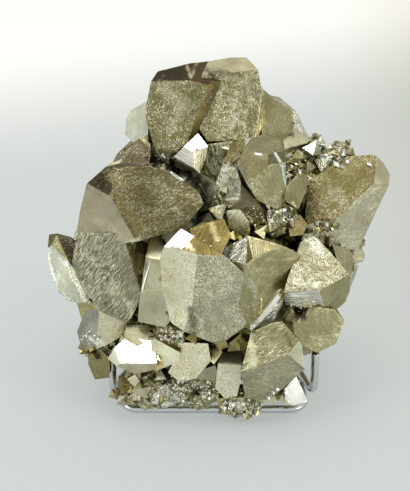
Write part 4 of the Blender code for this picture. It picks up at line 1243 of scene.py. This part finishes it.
def wire_tube(name, path, closed, sides=20):
    """A circle carried along the path. Its frame turns with the path and never spins. An open wire's ends are
    cut flat with a small chamfer: the circle's radius runs to nothing at the end point."""
    path = spread(path, TUBE_STEP, closed)
    if not closed:
        first = (path[0] - path[1]) / np.linalg.norm(path[0] - path[1])
        last = (path[-1] - path[-2]) / np.linalg.norm(path[-1] - path[-2])
        inward = np.array([0.0, 0.0, 0.12, 0.35])
        path = np.concatenate(
            [path[0] - inward[:, None] * first, path[1:-1], path[-1] - inward[::-1][:, None] * last]
        )
    radius = np.full(len(path), WIRE / 2)
    if not closed:
        radius[:3] = radius[-1:-4:-1] = (0.0, 0.86 * WIRE / 2, 0.96 * WIRE / 2)
    ahead = np.roll(path, -1, axis=0) if closed else np.concatenate([path[1:], path[-1:]])
    behind = np.roll(path, 1, axis=0) if closed else np.concatenate([path[:1], path[:-1]])
    run = ahead - behind
    if not closed:
        run[0] = run[1]
        run[-1] = run[-2]
    run /= np.linalg.norm(run, axis=1)[:, None]
    side = np.empty_like(path)
    side[0] = np.cross(run[0], (0.31, 0.22, 0.93))
    for index in range(1, len(path)):
        side[index] = side[index - 1] - (side[index - 1] @ run[index]) * run[index]
    side /= np.linalg.norm(side, axis=1)[:, None]
    other = np.cross(run, side)
    angle = np.arange(sides) / sides * math.tau
    ring = np.cos(angle)[None, :, None] * side[:, None] + np.sin(angle)[None, :, None] * other[:, None]
    points = (path[:, None] + ring * radius[:, None, None]).reshape(-1, 3)
    rows = np.arange(len(path) if closed else len(path) - 1)
    row, column = np.meshgrid(rows, np.arange(sides), indexing="ij")
    here, beyond = row * sides, (row + 1) % len(path) * sides
    after = (column + 1) % sides
    corners = [here + column, here + after, beyond + after, beyond + column]
    quads = np.stack(corners, axis=-1).reshape(-1, 4)
    travelled = np.concatenate([[0], np.cumsum(np.linalg.norm(np.diff(path, axis=0), axis=1))])
    travelled = np.append(travelled, travelled[-1] + 2)
    round_it = np.arange(sides + 1) / sides * math.tau * WIRE / 2
    u = np.stack([travelled[row], travelled[row], travelled[row + 1], travelled[row + 1]], axis=-1)
    v = np.stack([round_it[column], round_it[column + 1], round_it[column + 1], round_it[column]], axis=-1)
    obj = piece(name, points, quads, True)
    face_map(obj, np.stack([u, v], axis=-1), "along_wire")
    if not closed:
        mesh = bmesh.new()
        mesh.from_mesh(obj.data)
        bmesh.ops.remove_doubles(mesh, verts=mesh.verts[:], dist=1e-7)
        bmesh.ops.recalc_face_normals(mesh, faces=mesh.faces[:])
        mesh.to_mesh(obj.data)
        mesh.free()
    return obj


def base_path(shift):
    """The wire ring on the table, whose front run is the rail."""
    left, right = STAND_X - RAIL_HALF, STAND_X + RAIL_HALF
    back = RAIL_Y + BASE_DEPTH
    height = WIRE / 2 - shift[2]
    corners = [(left, back, height), (left, RAIL_Y, height), (right, RAIL_Y, height), (right, back, height)]
    return rounded(corners, RAIL_CORNER, True) + shift


def cradle_path(shift):
    """The second wire: peg, arm, back rest and the same again."""
    rest_y = ARM_BACK + REST_HEIGHT * math.sin(REST_LEAN)
    rest_z = ARM_Z + REST_HEIGHT * math.cos(REST_LEAN)
    half = [
        (-PEG_HALF, PEG_Y, PEG_TOP), (-PEG_HALF, PEG_Y, ARM_Z),
        (-REST_HALF, ARM_BACK, ARM_Z), (-REST_HALF, rest_y, rest_z),
    ]
    corners = half + [(-x, y, z) for x, y, z in reversed(half)]
    return rounded(corners, BEND, False) + shift + (STAND_X, 0, 0)


# ---------------------------------------------------------------- the studio


def area_light(name, place, faced, size, power, tint):
    """A soft square light at a place, turned to this height above the middle of the floor (metres)."""
    data = bpy.data.lights.new(name, "AREA")
    data.size = size
    data.energy = power
    data.color = tint
    obj = bpy.data.objects.new(name, data)
    obj.location = place
    obj.rotation_euler = (Vector((0, 0, faced)) - Vector(place)).to_track_quat("-Z", "Y").to_euler()
    bpy.context.scene.collection.objects.link(obj)


def studio(middle):
    """A pale floor, a soft light overhead and weaker ones at the sides, a dim room, and the camera."""
    corners = np.array([
        (-FLOOR_HALF, FLOOR_FRONT, 0), (FLOOR_HALF, FLOOR_FRONT, 0),
        (FLOOR_HALF, FLOOR_BACK, 0), (-FLOOR_HALF, FLOOR_BACK, 0),
    ])
    floor = piece("floor", corners, np.array([[0, 1, 2, 3]]), False)
    floor.data.materials.append(studio_card())
    for name, light in LIGHTS.items():
        area_light(name, *light)
    world = bpy.data.worlds.new("room")
    world.use_nodes = True
    background = world.node_tree.nodes["Background"].inputs
    background["Color"].default_value = ROOM_COLOUR
    background["Strength"].default_value = ROOM_STRENGTH
    bpy.context.scene.world = world
    data = bpy.data.cameras.new("camera")
    data.sensor_fit = "HORIZONTAL"
    data.sensor_width = SENSOR
    data.lens = SENSOR * FOCAL_PIXELS / PICTURE_WIDTH
    camera = bpy.data.objects.new("camera", data)
    camera.location = (Vector(middle) + Vector(TOWARDS_CAMERA) * SIGHT) * MM
    camera.rotation_euler = (math.pi / 2 - LEAN, 0, 0)
    bpy.context.scene.collection.objects.link(camera)
    bpy.context.scene.camera = camera
    bpy.context.scene.view_settings.view_transform = "Standard"


def main():
    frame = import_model()
    cad_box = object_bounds()
    base_low, base_high = (np.array(corner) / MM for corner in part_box("stand_base"))
    shift = (base_low + base_high) / 2 - (STAND_X, RAIL_Y + BASE_DEPTH / 2, WIRE / 2)
    middle = shift + (0, 0, FACE_HEIGHT)
    wires = [base_path(shift), cradle_path(shift)]
    pyrite = pyrite_metal()
    cluster = frame["nodes"]["pyrite_cluster"]
    points, triangles = merged(cluster)
    lines = [spread(wires[0], WIRE_STEP, True), spread(wires[1], WIRE_STEP, False)]
    box = np.array(cad_box) / MM
    grown = [
        *cluster_pieces(cluster, middle, pyrite),
        valley_crystals(points, triangles, middle, lines, box, pyrite),
        druse(points, triangles, middle, lines, box, pyrite),
        ridges(points, triangles, middle, pyrite),
    ]
    for obj in grown:
        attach(obj, "root")
        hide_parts("pyrite_cluster")
    chrome = chrome_wire()
    for name, path, closed, node in (
        ("base_wire", wires[0], True, "stand_base"),
        ("cradle_wire", wires[1], False, "stand_cradle"),
    ):
        obj = wire_tube(name, path, closed)
        obj.data.materials.append(chrome)
        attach(obj, "root")
        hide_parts(node)
    studio(middle)


main()
